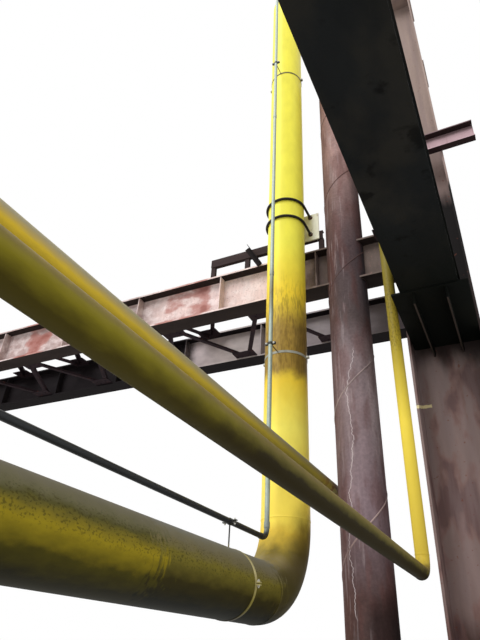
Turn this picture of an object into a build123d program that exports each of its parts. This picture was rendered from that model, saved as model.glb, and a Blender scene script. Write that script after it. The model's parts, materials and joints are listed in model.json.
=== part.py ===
from build123d import *
from math import cos, radians, sin
import os

# Steel pipe bridge in millimetres. X runs along the laced girders, Y along the level pipes towards
# their risers, Z is up. The origin is on the floor, on the axis of the right tube column.

# Clearances
SEAT_GAP = 0.3          # between a curved face and what it rests on
HOLE_CLEARANCE = 2.0    # between a bolt and its hole, on the radius

# Main pipe: a level run, a long elbow and a riser
MAIN_OD = 508.0
MAIN_WALL = 10.0
MAIN_BEND = 710.0
MAIN_X = -701.0
MAIN_Z = 2074.0
MAIN_RISER_Y = -437.0
MAIN_TOP = 12400.0

# Small front pipe, which rises beside the box girder
FRONT_OD = 114.3
FRONT_WALL = 4.5
FRONT_BEND = 152.0
FRONT_X = 673.0
FRONT_Z = 2226.0
FRONT_RISER_Y = -831.0
FRONT_TOP = 9000.0

# Small rear pipe, which rises between the two girders
REAR_OD = 139.7
REAR_WALL = 5.0
REAR_BEND = 190.0
REAR_X = -350.5
REAR_Z = 3212.0
REAR_RISER_Y = 779.0
REAR_TOP = 9000.0

# Cable conduit that follows the main pipe, above its run and in front of its riser
CONDUIT_OD = 48.3
CONDUIT_WALL = 3.2
CONDUIT_BEND = 90.0
CONDUIT_STANDOFF = 212.0        # from the main pipe's surface to the conduit's axis
CONDUIT_TOP = 12200.0

PIPE_OVERHANG = 399.0   # every level pipe begins this far beyond the near frame
SMALL_BEND_CUTS = 7     # mitre cuts in the elbows of the small pipes
MOUTH_CUT = 5.0         # degrees turned at the first and the last cut

# Girders of the bridge, two I-sections laced together
GIRDER_DEPTH = 640.0
GIRDER_WIDTH = 300.0
GIRDER_FLANGE = 26.0
GIRDER_WEB = 13.5
GIRDER_ROOT = 24.0
GIRDER_TOP = 6468.0
GIRDER_SPACING = 1476.0
STIFFENER_PITCH = 1500.0
STIFFENER_COUNT = 6
STIFFENER_FROM_TUBE = 387.0
STIFFENER_THICKNESS = 12.0
STIFFENER_INSET = 8.0
LACING_LEG = 70.0
LACING_THICKNESS = 7.0
LACING_START = 627.0
LACING_PANELS = 9
LACING_SEAT = 60.0
LACING_PULL_BACK = 80.0
GUSSET_LENGTH = 380.0
GUSSET_REACH = 240.0
GUSSET_TAIL = 45.0
GUSSET_SNIPE = 60.0
GUSSET_THICKNESS = 8.0

# Tube columns
TUBE_OD = 508.0
TUBE_WALL = 12.0
TUBE_TOP = 10200.0
TUBE_BASE_THICKNESS = 25.0
TUBE_CAP = 560.0
TUBE_CAP_THICKNESS = 15.0
TUBE_ANCHOR_SPACING = 660.0
TUBE_ANCHOR_EDGE = 50.0         # from the anchors' lines to the base plate's edge
BASE_RIB_HEIGHT = 220.0
BASE_RIB_THICKNESS = 16.0

# Plate columns, H-shaped, with the web facing along the pipes
COLUMN_WIDTH = 780.0
COLUMN_DEPTH = 600.0
COLUMN_FLANGE = 25.0
COLUMN_WEB = 25.0
COLUMN_FROM_TUBE = 1103.0
COLUMN_TOP = 11600.0
LEFT_END_RISE = 450.0   # the left end carries only the girders, so it stops just above them
NEAR_COLUMN_FROM_FRAME = 1100.0
NEAR_COLUMN_WIDTH = 640.0       # leaves the front pipe's line clear
NEAR_COLUMN_TOP = 6300.0
COLUMN_BASE_THICKNESS = 30.0
COLUMN_ANCHOR_OUTSIDE = 40.0    # anchors beyond the flanges' outer faces
COLUMN_ANCHOR_EDGE = 40.0
COLUMN_ANCHOR_Y = 500.0
COLUMN_CAP_THICKNESS = 20.0
COLUMN_CAP_OVERHANG = 20.0
ANCHOR_HOLE = 18.0

# Box girder and the corbels that carry it
BOX_WIDTH = 550.0
BOX_HEIGHT = 700.0
BOX_FLANGE = 20.0
BOX_WEB = 14.0
BOX_WEB_INSET = 22.0
BOX_UNDERSIDE = 4730.0
BOX_END_GAP = 17.5
BOX_END_PLATE = 15.0
CORBEL_REACH = 1198.0
CORBEL_CAP = 20.0
CORBEL_SIDE_GAP = 3.0
CORBEL_WEB = 16.0
CORBEL_WEB_DEPTH = 130.0
CORBEL_WEB_OFFSET = 154.0
CORBEL_WEB_SETBACK = 22.0

# Stub beam on the right front column
STUB_DEPTH = 300.0
STUB_WIDTH = 100.0
STUB_FLANGE = 16.0
STUB_WEB = 10.0
STUB_TOP = 7760.0
STUB_OVERHANG = 420.0

# Ties between columns
TIE_DEPTH = 190.0
TIE_WIDTH = 200.0
TIE_FLANGE = 10.0
TIE_WEB = 6.5
TIE_ROOT = 18.0
HEAD_TIE_DROP = 200.0       # below the tube columns' tops
LOW_CROSS_TIE_TOP = 3000.0
HIGH_CROSS_TIE_DROP = 300.0     # below the plate columns' tops

# Anchor of the main riser: rail, back plate and U-bolts
RAIL_DEPTH = 140.0
RAIL_FLANGE_WIDTH = 60.0
RAIL_WEB = 7.0
RAIL_FLANGE = 10.0
RAIL_LIFT = 177.0       # above the girder's top flange
RAIL_LEFT = -2060.0
RAIL_RIGHT = -257.0
RAIL_POST_LENGTH = 70.0
RAIL_POST_WIDTH = 50.0
RAIL_POST_COUNT = 4
BRACE_LEG = 80.0
BRACE_THICKNESS = 8.0
BRACE_FOOT_X = -1190.0
BRACE_HEAD_X = -1410.0
BRACE_RISE = 55.0       # above the rail
PLATE_WIDTH = 788.0
PLATE_HEIGHT = 475.0
PLATE_DROP = 145.0      # from the rail's top to the plate's lower edge
PLATE_THICKNESS = 20.0
U_BOLT_DIAMETER = 36.0
U_BOLT_SIDES = 8        # the bars are made with few sides
U_BOLT_PLACES = (98.0, 415.0)   # above the plate's lower edge
U_BOLT_TAIL = 60.0

# Band clamps that carry the conduit
BAND_WIDTH = 30.0
BAND_THICKNESS = 4.0
BAND_EAR = 36.0
BAND_EAR_THICKNESS = 8.0
BAND_EAR_SPLIT = 10.0
CLAMP_ROD = 12.0
RUN_BANDS_Y = (-4951.0, -1651.0)
RISER_BANDS_Z = (4630.0, 10010.0)

# Frame under the near ends of the pipes
FRAME_Y = -7271.0
POST_DEPTH = 200.0
POST_WIDTH = 200.0
POST_FLANGE = 15.0
POST_WEB = 9.0
POST_ROOT = 18.0
POST_TOP = 3300.0
LEFT_POST_X = -1250.0
RIGHT_POST_X = 1000.0
POST_BASE_THICKNESS = 20.0
POST_ANCHOR_SPACING = 250.0
POST_ANCHOR_EDGE = 35.0
POST_ANCHOR_HOLE = 11.0
LOW_BEAM_DEPTH = 190.0
LOW_BEAM_WIDTH = 200.0
HIGH_BEAM_DEPTH = 152.0
HIGH_BEAM_WIDTH = 160.0
BEAM_FLANGE = 10.0
BEAM_WEB = 6.5
BEAM_ROOT = 15.0
SADDLE_LIFT = 60.0
SADDLE_LENGTH = 160.0
SADDLE_WIDTH = 340.0
SADDLE_PLATE = 12.0
SADDLE_ARC_PLATE = 10.0
SADDLE_RIB_OFFSET = 90.0
STOOL_PLATE = 12.0
STOOL_PLATE_SIZE = 130.0
STOOL_SIDE = 80.0
STOOL_WALL = 5.0

# Guide plates that steady the two small risers at girder level
GUIDE_THICKNESS = 12.0
GUIDE_MARGIN = 45.0
GUIDE_ARM = 90.0
GUIDE_SEAT = 60.0
GUIDE_SIDE_GAP = 3.0

# Places worked out from the sizes above
CONDUIT_Z = MAIN_Z + MAIN_OD / 2 + CONDUIT_STANDOFF
CONDUIT_RISER_Y = MAIN_RISER_Y - MAIN_OD / 2 - CONDUIT_STANDOFF
PIPE_START_Y = FRAME_Y - PIPE_OVERHANG
NEAR_COLUMN_Y = FRAME_Y - NEAR_COLUMN_FROM_FRAME
TUBE_BASE = TUBE_ANCHOR_SPACING + 2 * TUBE_ANCHOR_EDGE
COLUMN_BASE_MARGIN = COLUMN_ANCHOR_OUTSIDE + COLUMN_ANCHOR_EDGE
POST_BASE = POST_ANCHOR_SPACING + 2 * POST_ANCHOR_EDGE
HEAD_TIE_TOP = TUBE_TOP - HEAD_TIE_DROP
GIRDER_BOTTOM = GIRDER_TOP - GIRDER_DEPTH
LEFT_END_TOP = GIRDER_TOP + LEFT_END_RISE
RAIL_BOTTOM = GIRDER_TOP + RAIL_LIFT
RAIL_TOP = RAIL_BOTTOM + RAIL_DEPTH
PLATE_BOTTOM = RAIL_TOP - PLATE_DROP
PLATE_TOP = PLATE_BOTTOM + PLATE_HEIGHT
U_BOLT_HEIGHTS = [PLATE_BOTTOM + place for place in U_BOLT_PLACES]
LEFT_TUBE_X = -(2 * STIFFENER_FROM_TUBE + (STIFFENER_COUNT - 1) * STIFFENER_PITCH)
RIGHT_COLUMN_X = COLUMN_FROM_TUBE
LEFT_COLUMN_X = LEFT_TUBE_X - COLUMN_FROM_TUBE
LOW_BEAM_TOP = MAIN_Z - MAIN_OD / 2 - SADDLE_LIFT
HIGH_BEAM_TOP = REAR_Z - REAR_OD / 2 - SEAT_GAP
PLATE_FRONT_Y = MAIN_RISER_Y + MAIN_OD / 2 + SEAT_GAP
RAIL_FRONT_Y = PLATE_FRONT_Y + PLATE_THICKNESS


# Profiles

def ring(od, wall):
    return Circle(od / 2) - Circle(od / 2 - wall)


def i_profile(depth, width, flange, web, root=None):
    """I-section, depth along local Y and flanges along local X. A rolled one is rounded at the roots."""
    recess = Rectangle((width - web) / 2, depth - 2 * flange, align=(Align.MIN, Align.CENTER))
    if root:
        recess = fillet(recess.vertices().group_by(Axis.X)[0], root)
    side = Pos(web / 2, 0) * recess
    return Rectangle(width, depth) - side - mirror(side, Plane.YZ)


def angle_profile(leg, thickness):
    """Equal angle with its heel at the local origin, legs along +X and +Y."""
    corner = (Align.MIN, Align.MIN)
    return Rectangle(leg, thickness, align=corner) + Rectangle(thickness, leg, align=corner)


def channel_profile(depth, width, web, flange):
    """Channel with the back of its web on the local Y axis, flanges towards +X."""
    corner = (Align.MIN, Align.CENTER)
    hollow = Pos(web, 0) * Rectangle(width - web, depth - 2 * flange, align=corner)
    return Rectangle(width, depth, align=corner) - hollow


# Solids

def bar(profile, start, end, up):
    """Carries a profile from start to end, with its local Y turned towards up."""
    start, end, up = Vector(*start), Vector(*end), Vector(*up)
    along = end - start
    plane = Plane(origin=start, x_dir=up.cross(along), z_dir=along)
    return extrude(plane * profile, along.length)


def block(low, high):
    """Box between two corners."""
    size = [h - l for l, h in zip(low, high)]
    middle = [(h + l) / 2 for l, h in zip(low, high)]
    return Pos(*middle) * Box(*size)


def round_bar(start, end, radius):
    return bar(Circle(radius), start, end, (1, 0, 0) if start[0] == end[0] else (0, 0, 1))


def level_pipe(x, z, end_y, od, wall):
    return bar(ring(od, wall), (x, PIPE_START_Y, z), (x, end_y, z), (0, 0, 1))


def rising_pipe(x, y, bottom, top, od, wall):
    return bar(ring(od, wall), (x, y, bottom), (x, y, top), (0, 1, 0))


def smooth_elbow(x, riser_y, z, bend, od, wall):
    """Quarter bend from a level pipe along +Y up into a riser."""
    mouth = Plane(origin=(x, riser_y - bend, z), z_dir=(0, 1, 0)) * ring(od, wall)
    return revolve(mouth, Axis((x, riser_y - bend, z + bend), (1, 0, 0)), 90)


def mitred_elbow(x, riser_y, z, bend, od, wall):
    """The same bend in short straight lengths that touch its arc at their middles."""
    centre = Vector(x, riser_y - bend, z + bend)
    inner_cuts = SMALL_BEND_CUTS - 2
    cuts = [MOUTH_CUT] + [(90 - 2 * MOUTH_CUT) / inner_cuts] * inner_cuts + [MOUTH_CUT]
    route = [centre - Vector(0, 0, bend)]
    turned = 0
    for cut in cuts:
        middle = radians(turned + cut / 2)
        route.append(centre + Vector(0, sin(middle), -cos(middle)) * (bend / cos(radians(cut / 2))))
        turned += cut
    route.append(centre + Vector(0, bend, 0))
    mouth = Plane(origin=route[0], z_dir=(0, 1, 0)) * ring(od, wall)
    return sweep(mouth, path=Polyline(*route), transition=Transition.RIGHT)


def pipe_line(x, z, riser_y, top, bend, od, wall, elbow):
    """The run, elbow and riser of one pipe, cut where they are welded."""
    run = level_pipe(x, z, riser_y - bend, od, wall)
    turn = elbow(x, riser_y, z, bend, od, wall)
    riser = rising_pipe(x, riser_y, z + bend, top, od, wall)
    return run, turn, riser


def plate_with_holes(x, y, bottom, size_x, size_y, thickness, spacing_x, spacing_y, radius):
    """Base plate on the XY plane with a hole near each corner."""
    outline = Rectangle(size_x, size_y) - GridLocations(spacing_x, spacing_y, 2, 2) * Circle(radius)
    return extrude(Pos(x, y, bottom) * outline, thickness)


# Columns

def plate_column(x, y, top, width):
    profile = i_profile(width, COLUMN_DEPTH, COLUMN_FLANGE, COLUMN_WEB)
    return bar(profile, (x, y, COLUMN_BASE_THICKNESS), (x, y, top), (1, 0, 0))


def column_base(x, y, width):
    return plate_with_holes(
        x, y, 0, width + 2 * COLUMN_BASE_MARGIN, COLUMN_DEPTH + 2 * COLUMN_BASE_MARGIN,
        COLUMN_BASE_THICKNESS, width + 2 * COLUMN_ANCHOR_OUTSIDE, COLUMN_ANCHOR_Y, ANCHOR_HOLE,
    )


def column_cap(x, y, top, width):
    half_x = width / 2 + COLUMN_CAP_OVERHANG
    half_y = COLUMN_DEPTH / 2 + COLUMN_CAP_OVERHANG
    return block((x - half_x, y - half_y, top), (x + half_x, y + half_y, top + COLUMN_CAP_THICKNESS))


def tube_column(x, top):
    return rising_pipe(x, 0, TUBE_BASE_THICKNESS, top, TUBE_OD, TUBE_WALL)


def base_rib(x, turn):
    """Triangular rib between a tube column and its base plate."""
    inner = TUBE_OD / 2 + SEAT_GAP
    outer = TUBE_BASE / 2
    toe = BASE_RIB_THICKNESS
    low = TUBE_BASE_THICKNESS
    high = low + BASE_RIB_HEIGHT
    outline = Polygon((inner, low), (outer, low), (outer, low + toe), (inner + toe, high), (inner, high),
                      align=None)
    rib = extrude(Plane.XZ * outline, BASE_RIB_THICKNESS / 2, both=True)
    return Pos(x, 0, 0) * Rot(0, 0, turn) * rib


def tube_base(x):
    base = plate_with_holes(
        x, 0, 0, TUBE_BASE, TUBE_BASE, TUBE_BASE_THICKNESS,
        TUBE_ANCHOR_SPACING, TUBE_ANCHOR_SPACING, ANCHOR_HOLE,
    )
    for turn in (0, 90, 180, 270):
        base += base_rib(x, turn)
    return base


def tube_cap(x, top):
    half = TUBE_CAP / 2
    return block((x - half, -half, top), (x + half, half, top + TUBE_CAP_THICKNESS))


# Girders

def girder_profile():
    return i_profile(GIRDER_DEPTH, GIRDER_WIDTH, GIRDER_FLANGE, GIRDER_WEB, GIRDER_ROOT)


def girder(left, right, y):
    middle = GIRDER_TOP - GIRDER_DEPTH / 2
    return bar(girder_profile(), (left, y, middle), (right, y, middle), (0, 0, 1))


def coped(beam, tube_x):
    """Cuts the end of a beam to the round of a tube column."""
    cutter = Pos(tube_x, 0, GIRDER_TOP) * Cylinder(TUBE_OD / 2 + SEAT_GAP, 2 * GIRDER_TOP)
    return beam - cutter


def stiffeners(y):
    """Web plates in pairs, snipped at the roots of the section."""
    depth = GIRDER_DEPTH - 2 * GIRDER_FLANGE
    width = (GIRDER_WIDTH - GIRDER_WEB) / 2 - STIFFENER_INSET
    snipe = GIRDER_ROOT + STIFFENER_INSET / 2
    outline = Rectangle(width, depth, align=(Align.MIN, Align.CENTER))
    outline = chamfer(outline.vertices().group_by(Axis.X)[0], snipe)
    middle = GIRDER_TOP - GIRDER_DEPTH / 2
    plates = []
    for i in range(STIFFENER_COUNT):
        x = -STIFFENER_FROM_TUBE - i * STIFFENER_PITCH
        for side in (-1, 1):
            plane = Plane(origin=(x, y + side * GIRDER_WEB / 2, middle), x_dir=(0, side, 0), z_dir=(1, 0, 0))
            plates.append(extrude(plane * outline, STIFFENER_THICKNESS / 2, both=True))
    return plates


def lacing_gusset(x, y, inward, level, up):
    """Six-sided plate from a flange towards the other girder, under the ends of two angles."""
    half = GUSSET_LENGTH / 2
    outline = Polygon(
        (half, GUSSET_REACH), (-half, GUSSET_REACH), (-half, GUSSET_SNIPE - GUSSET_TAIL),
        (GUSSET_SNIPE - half, -GUSSET_TAIL), (half - GUSSET_SNIPE, -GUSSET_TAIL),
        (half, GUSSET_SNIPE - GUSSET_TAIL), align=None,
    )
    plane = Plane(origin=(x, y, level), x_dir=(inward * up, 0, 0), z_dir=(0, 0, up))
    return extrude(plane * outline, GUSSET_THICKNESS)


def lacing(level, up, first_y, second_y):
    """Zigzag of angles between the inner flanges, each end on a gusset, joined into one frame."""
    step = STIFFENER_PITCH / 2
    inward = 1 if second_y > first_y else -1
    turns = []
    for i in range(LACING_PANELS + 1):
        y, side = (first_y, inward) if i % 2 == 0 else (second_y, -inward)
        turns.append((-LACING_START - i * step, y, side))
    frame = Part() + [lacing_gusset(x, y, side, level, up) for x, y, side in turns]
    profile = Pos(-LACING_LEG / 2, 0) * angle_profile(LACING_LEG, LACING_THICKNESS)
    seat = level + up * GUSSET_THICKNESS
    for (x, y, side), (next_x, next_y, next_side) in zip(turns, turns[1:]):
        start, end = Vector(x, y, seat), Vector(next_x, next_y, seat)
        pull_back = (end - start).normalized() * LACING_PULL_BACK
        frame += bar(profile, tuple(start + pull_back), tuple(end - pull_back), (0, 0, up))
    return frame


# Box girder and corbels

def box_girder(start_y, end_y):
    """Two flange plates on two inset webs, closed by a plate at each end."""
    x = RIGHT_COLUMN_X
    web_x = BOX_WIDTH / 2 - BOX_WEB_INSET
    low, high = BOX_UNDERSIDE, BOX_UNDERSIDE + BOX_HEIGHT
    shell = block((x - BOX_WIDTH / 2, start_y, low), (x + BOX_WIDTH / 2, end_y, low + BOX_FLANGE))
    shell += block((x - BOX_WIDTH / 2, start_y, high - BOX_FLANGE), (x + BOX_WIDTH / 2, end_y, high))
    for side in (-1, 1):
        edges = sorted((x + side * web_x, x + side * (web_x - BOX_WEB)))
        shell += block((edges[0], start_y, low + BOX_FLANGE), (edges[1], end_y, high - BOX_FLANGE))
    for face_y, outward in ((start_y, -1), (end_y, 1)):
        span = sorted((face_y, face_y + outward * BOX_END_PLATE))
        shell += block((x - BOX_WIDTH / 2, span[0], low), (x + BOX_WIDTH / 2, span[1], high))
    return shell


def corbel(column_y, column_width, outward):
    """Cap plate on two webs, reaching from a column's web towards the other column."""
    x = RIGHT_COLUMN_X
    root_y = column_y + outward * COLUMN_WEB / 2
    half = column_width / 2 - COLUMN_FLANGE - CORBEL_SIDE_GAP
    span = sorted((root_y, root_y + outward * CORBEL_REACH))
    cap_low = BOX_UNDERSIDE - CORBEL_CAP
    piece = block((x - half, span[0], cap_low), (x + half, span[1], BOX_UNDERSIDE))
    web_span = sorted((root_y, root_y + outward * (CORBEL_REACH - CORBEL_WEB_SETBACK)))
    for side in (-1, 1):
        middle = x + side * CORBEL_WEB_OFFSET
        piece += block(
            (middle - CORBEL_WEB / 2, web_span[0], cap_low - CORBEL_WEB_DEPTH),
            (middle + CORBEL_WEB / 2, web_span[1], cap_low),
        )
    return piece


# Riser anchor

def u_bolt(z):
    """Round bar bent round the near side of the main riser, with both legs through the back plate."""
    radius = U_BOLT_DIAMETER / 2
    reach = MAIN_OD / 2 + SEAT_GAP + radius
    tail_y = PLATE_FRONT_Y + PLATE_THICKNESS + U_BOLT_TAIL
    bar_section = RegularPolygon(radius, U_BOLT_SIDES, major_radius=True)
    mouth = Plane(origin=(MAIN_X + reach, MAIN_RISER_Y, z), z_dir=(0, 1, 0)) * bar_section
    bow = revolve(mouth, Axis((MAIN_X, MAIN_RISER_Y, z), (0, 0, -1)), 180)
    for side in (-1, 1):
        leg = Plane(origin=(MAIN_X + side * reach, MAIN_RISER_Y, z), z_dir=(0, 1, 0)) * bar_section
        bow += extrude(leg, tail_y - MAIN_RISER_Y)
    return bow


def u_bolt_leg_places():
    """Where the U-bolts' legs stand, as x and z."""
    reach = MAIN_OD / 2 + SEAT_GAP + U_BOLT_DIAMETER / 2
    return [(MAIN_X + side * reach, z) for z in U_BOLT_HEIGHTS for side in (-1, 1)]


def leg_hole(x, front_y, z, thickness):
    """Hole for a U-bolt's leg through a plate or web whose near face is at front_y."""
    return round_bar(
        (x, front_y - thickness, z), (x, front_y + 2 * thickness, z), U_BOLT_DIAMETER / 2 + HOLE_CLEARANCE
    )


def back_plate():
    half = PLATE_WIDTH / 2
    plate = block(
        (MAIN_X - half, PLATE_FRONT_Y, PLATE_BOTTOM),
        (MAIN_X + half, PLATE_FRONT_Y + PLATE_THICKNESS, PLATE_TOP),
    )
    for x, z in u_bolt_leg_places():
        plate -= leg_hole(x, PLATE_FRONT_Y, z, PLATE_THICKNESS)
    return plate


def rail_post(x):
    """Short flat from a girder's top flange up to the rail."""
    front = -GIRDER_WIDTH / 2
    half = RAIL_POST_LENGTH / 2
    return block((x - half, front, GIRDER_TOP), (x + half, front + RAIL_POST_WIDTH, RAIL_BOTTOM))


def anchor_rail():
    """Channel on its edge, on posts, with a slanting angle across its face and holes for the U-bolts."""
    profile = channel_profile(RAIL_DEPTH, RAIL_FLANGE_WIDTH, RAIL_WEB, RAIL_FLANGE)
    middle = RAIL_BOTTOM + RAIL_DEPTH / 2
    rail = bar(profile, (RAIL_LEFT, RAIL_FRONT_Y, middle), (RAIL_RIGHT, RAIL_FRONT_Y, middle), (0, 0, 1))
    first = RAIL_LEFT + RAIL_POST_LENGTH / 2
    step = (RAIL_RIGHT - RAIL_LEFT - RAIL_POST_LENGTH) / (RAIL_POST_COUNT - 1)
    for i in range(RAIL_POST_COUNT):
        rail += rail_post(first + i * step)
    foot = (BRACE_FOOT_X, RAIL_FRONT_Y, GIRDER_TOP)
    head = (BRACE_HEAD_X, RAIL_FRONT_Y, RAIL_TOP + BRACE_RISE)
    rail += bar(angle_profile(BRACE_LEG, BRACE_THICKNESS), foot, head, (0, -1, 0))
    for x, z in u_bolt_leg_places():
        rail -= leg_hole(x, RAIL_FRONT_Y, z, RAIL_WEB)
    return rail


# Band clamps

def band(od):
    """Flat band round a pipe along local Z, with a pair of bolt ears on each side along local X."""
    inner = od / 2 + SEAT_GAP
    outer = inner + BAND_THICKNESS
    outline = Circle(outer)
    for side in (-1, 1):
        for half in (-1, 1):
            middle_y = half * (BAND_EAR_SPLIT + BAND_EAR_THICKNESS) / 2
            ear = Rectangle(BAND_EAR + BAND_THICKNESS, BAND_EAR_THICKNESS)
            outline += Pos(side * (inner + (BAND_EAR + BAND_THICKNESS) / 2), middle_y) * ear
    outline -= Circle(inner)
    return extrude(outline, BAND_WIDTH / 2, both=True)


def conduit_clamp():
    """Band round the main pipe along local Z, with a rod along local Y to a small band for the conduit."""
    conduit_y = MAIN_OD / 2 + CONDUIT_STANDOFF
    foot = MAIN_OD / 2 + SEAT_GAP + BAND_THICKNESS / 2
    tip = conduit_y - CONDUIT_OD / 2 - SEAT_GAP - BAND_THICKNESS / 2
    clamp = band(MAIN_OD) + Pos(0, conduit_y, 0) * band(CONDUIT_OD)
    return clamp + round_bar((0, foot, 0), (0, tip, 0), CLAMP_ROD / 2)


def run_clamp(y):
    return Pos(MAIN_X, y, MAIN_Z) * Rot(90, 0, 0) * conduit_clamp()


def riser_clamp(z):
    return Pos(MAIN_X, MAIN_RISER_Y, z) * Rot(0, 0, 180) * conduit_clamp()


# Near frame

def frame_post(x):
    profile = i_profile(POST_DEPTH, POST_WIDTH, POST_FLANGE, POST_WEB, POST_ROOT)
    return bar(profile, (x, FRAME_Y, POST_BASE_THICKNESS), (x, FRAME_Y, POST_TOP), (1, 0, 0))


def frame_beam(top, depth, width):
    profile = i_profile(depth, width, BEAM_FLANGE, BEAM_WEB, BEAM_ROOT)
    left, right = LEFT_POST_X + POST_DEPTH / 2, RIGHT_POST_X - POST_DEPTH / 2
    middle = top - depth / 2
    return bar(profile, (left, FRAME_Y, middle), (right, FRAME_Y, middle), (0, 0, 1))


def main_saddle():
    """Welded shoe under the main pipe: foot plate, two ribs and a rolled seat."""
    half = SADDLE_LENGTH / 2
    seat_outer = MAIN_OD / 2 + SEAT_GAP + SADDLE_ARC_PLATE
    foot = block(
        (MAIN_X - SADDLE_WIDTH / 2, FRAME_Y - half, LOW_BEAM_TOP),
        (MAIN_X + SADDLE_WIDTH / 2, FRAME_Y + half, LOW_BEAM_TOP + SADDLE_PLATE),
    )
    pipe_axis = Pos(MAIN_X, FRAME_Y, MAIN_Z) * Rot(90, 0, 0)
    seat = pipe_axis * Cylinder(seat_outer, SADDLE_LENGTH)
    seat &= block(
        (MAIN_X - SADDLE_WIDTH / 2, FRAME_Y - half, LOW_BEAM_TOP),
        (MAIN_X + SADDLE_WIDTH / 2, FRAME_Y + half, MAIN_Z),
    )
    ribs = None
    for side in (-1, 1):
        middle = MAIN_X + side * SADDLE_RIB_OFFSET
        rib = block(
            (middle - SADDLE_PLATE / 2, FRAME_Y - half, LOW_BEAM_TOP + SADDLE_PLATE),
            (middle + SADDLE_PLATE / 2, FRAME_Y + half, MAIN_Z - MAIN_OD / 4),
        )
        ribs = rib if ribs is None else ribs + rib
    bore = pipe_axis * Cylinder(MAIN_OD / 2 + SEAT_GAP, 2 * SADDLE_LENGTH)
    return foot + (seat + ribs - bore)


def front_stool():
    """Square hollow stool that lifts the front pipe off the low beam."""
    top = FRONT_Z - FRONT_OD / 2 - SEAT_GAP
    half = STOOL_PLATE_SIZE / 2
    stool = block(
        (FRONT_X - half, FRAME_Y - half, LOW_BEAM_TOP),
        (FRONT_X + half, FRAME_Y + half, LOW_BEAM_TOP + STOOL_PLATE),
    )
    stool += block(
        (FRONT_X - half, FRAME_Y - half, top - STOOL_PLATE), (FRONT_X + half, FRAME_Y + half, top)
    )
    section = Rectangle(STOOL_SIDE, STOOL_SIDE)
    section -= Rectangle(STOOL_SIDE - 2 * STOOL_WALL, STOOL_SIDE - 2 * STOOL_WALL)
    stool += bar(
        section, (FRONT_X, FRAME_Y, LOW_BEAM_TOP + STOOL_PLATE), (FRONT_X, FRAME_Y, top - STOOL_PLATE), (0, 1, 0)
    )
    return stool


# Riser guides

def riser_guide(x, riser_y, od, girder_y, arm_x):
    """Plate on a girder's bottom flange, with a hole that steadies a small riser."""
    level = GIRDER_BOTTOM + GIRDER_FLANGE
    toward = 1 if girder_y > riser_y else -1
    flange_edge = girder_y - toward * GIRDER_WIDTH / 2
    half = od / 2 + GUIDE_MARGIN
    span = sorted((riser_y, flange_edge + toward * GUIDE_SEAT))
    guide = block((x - half, riser_y - half, level), (x + half, riser_y + half, level + GUIDE_THICKNESS))
    guide += block(
        (arm_x - GUIDE_ARM / 2, span[0], level), (arm_x + GUIDE_ARM / 2, span[1], level + GUIDE_THICKNESS)
    )
    return guide - round_bar(
        (x, riser_y, level - GUIDE_THICKNESS), (x, riser_y, level + 2 * GUIDE_THICKNESS), od / 2 + SEAT_GAP
    )


# Files

def save(name, *solids):
    shape = solids[0] if len(solids) == 1 else Compound(children=list(solids))
    export_step(shape, f"parts/{name}.step")


os.makedirs("parts", exist_ok=True)

pipes = {
    "main_pipe": (MAIN_X, MAIN_Z, MAIN_RISER_Y, MAIN_TOP, MAIN_BEND, MAIN_OD, MAIN_WALL),
    "front_pipe": (FRONT_X, FRONT_Z, FRONT_RISER_Y, FRONT_TOP, FRONT_BEND, FRONT_OD, FRONT_WALL),
    "rear_pipe": (REAR_X, REAR_Z, REAR_RISER_Y, REAR_TOP, REAR_BEND, REAR_OD, REAR_WALL),
    "conduit": (MAIN_X, CONDUIT_Z, CONDUIT_RISER_Y, CONDUIT_TOP, CONDUIT_BEND, CONDUIT_OD, CONDUIT_WALL),
}
for name, sizes in pipes.items():
    run, turn, riser = pipe_line(*sizes, smooth_elbow if name == "main_pipe" else mitred_elbow)
    save(name + "_run", run)
    save(name + "_elbow", turn)
    save(name + "_riser", riser)

save("right_tube_column", tube_column(0, TUBE_TOP))
save("left_tube_column", tube_column(LEFT_TUBE_X, LEFT_END_TOP))
save("tube_bases", tube_base(0), tube_base(LEFT_TUBE_X))

columns = {
    "right_front_column": (RIGHT_COLUMN_X, 0, COLUMN_TOP, COLUMN_WIDTH),
    "right_rear_column": (RIGHT_COLUMN_X, GIRDER_SPACING, COLUMN_TOP, COLUMN_WIDTH),
    "left_front_column": (LEFT_COLUMN_X, 0, LEFT_END_TOP, COLUMN_WIDTH),
    "left_rear_column": (LEFT_COLUMN_X, GIRDER_SPACING, LEFT_END_TOP, COLUMN_WIDTH),
    "near_column": (RIGHT_COLUMN_X, NEAR_COLUMN_Y, NEAR_COLUMN_TOP, NEAR_COLUMN_WIDTH),
}
for name, (x, y, top, width) in columns.items():
    save(name, plate_column(x, y, top, width))
save("column_bases", *[column_base(x, y, width) for x, y, top, width in columns.values()])
caps = [tube_cap(0, TUBE_TOP), tube_cap(LEFT_TUBE_X, LEFT_END_TOP)]
caps += [column_cap(x, y, top, width) for x, y, top, width in columns.values()]
save("column_caps", *caps)

right_face = RIGHT_COLUMN_X - COLUMN_WIDTH / 2
left_face = LEFT_COLUMN_X + COLUMN_WIDTH / 2
save("front_girder_right_bay", coped(girder(0, right_face, 0), 0))
save("front_girder_span", coped(coped(girder(LEFT_TUBE_X, 0, 0), 0), LEFT_TUBE_X))
save("front_girder_left_bay", coped(girder(left_face, LEFT_TUBE_X, 0), LEFT_TUBE_X))
save("rear_girder", girder(left_face, right_face, GIRDER_SPACING))
save("front_girder_stiffeners", *stiffeners(0))
save("rear_girder_stiffeners", *stiffeners(GIRDER_SPACING))
inner_front = GIRDER_WIDTH / 2 - LACING_SEAT
inner_rear = GIRDER_SPACING - GIRDER_WIDTH / 2 + LACING_SEAT
save("bottom_lacing", lacing(GIRDER_BOTTOM + GIRDER_FLANGE, 1, inner_rear, inner_front))
save("top_lacing", lacing(GIRDER_TOP - GIRDER_FLANGE, -1, inner_front, inner_rear))

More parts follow.
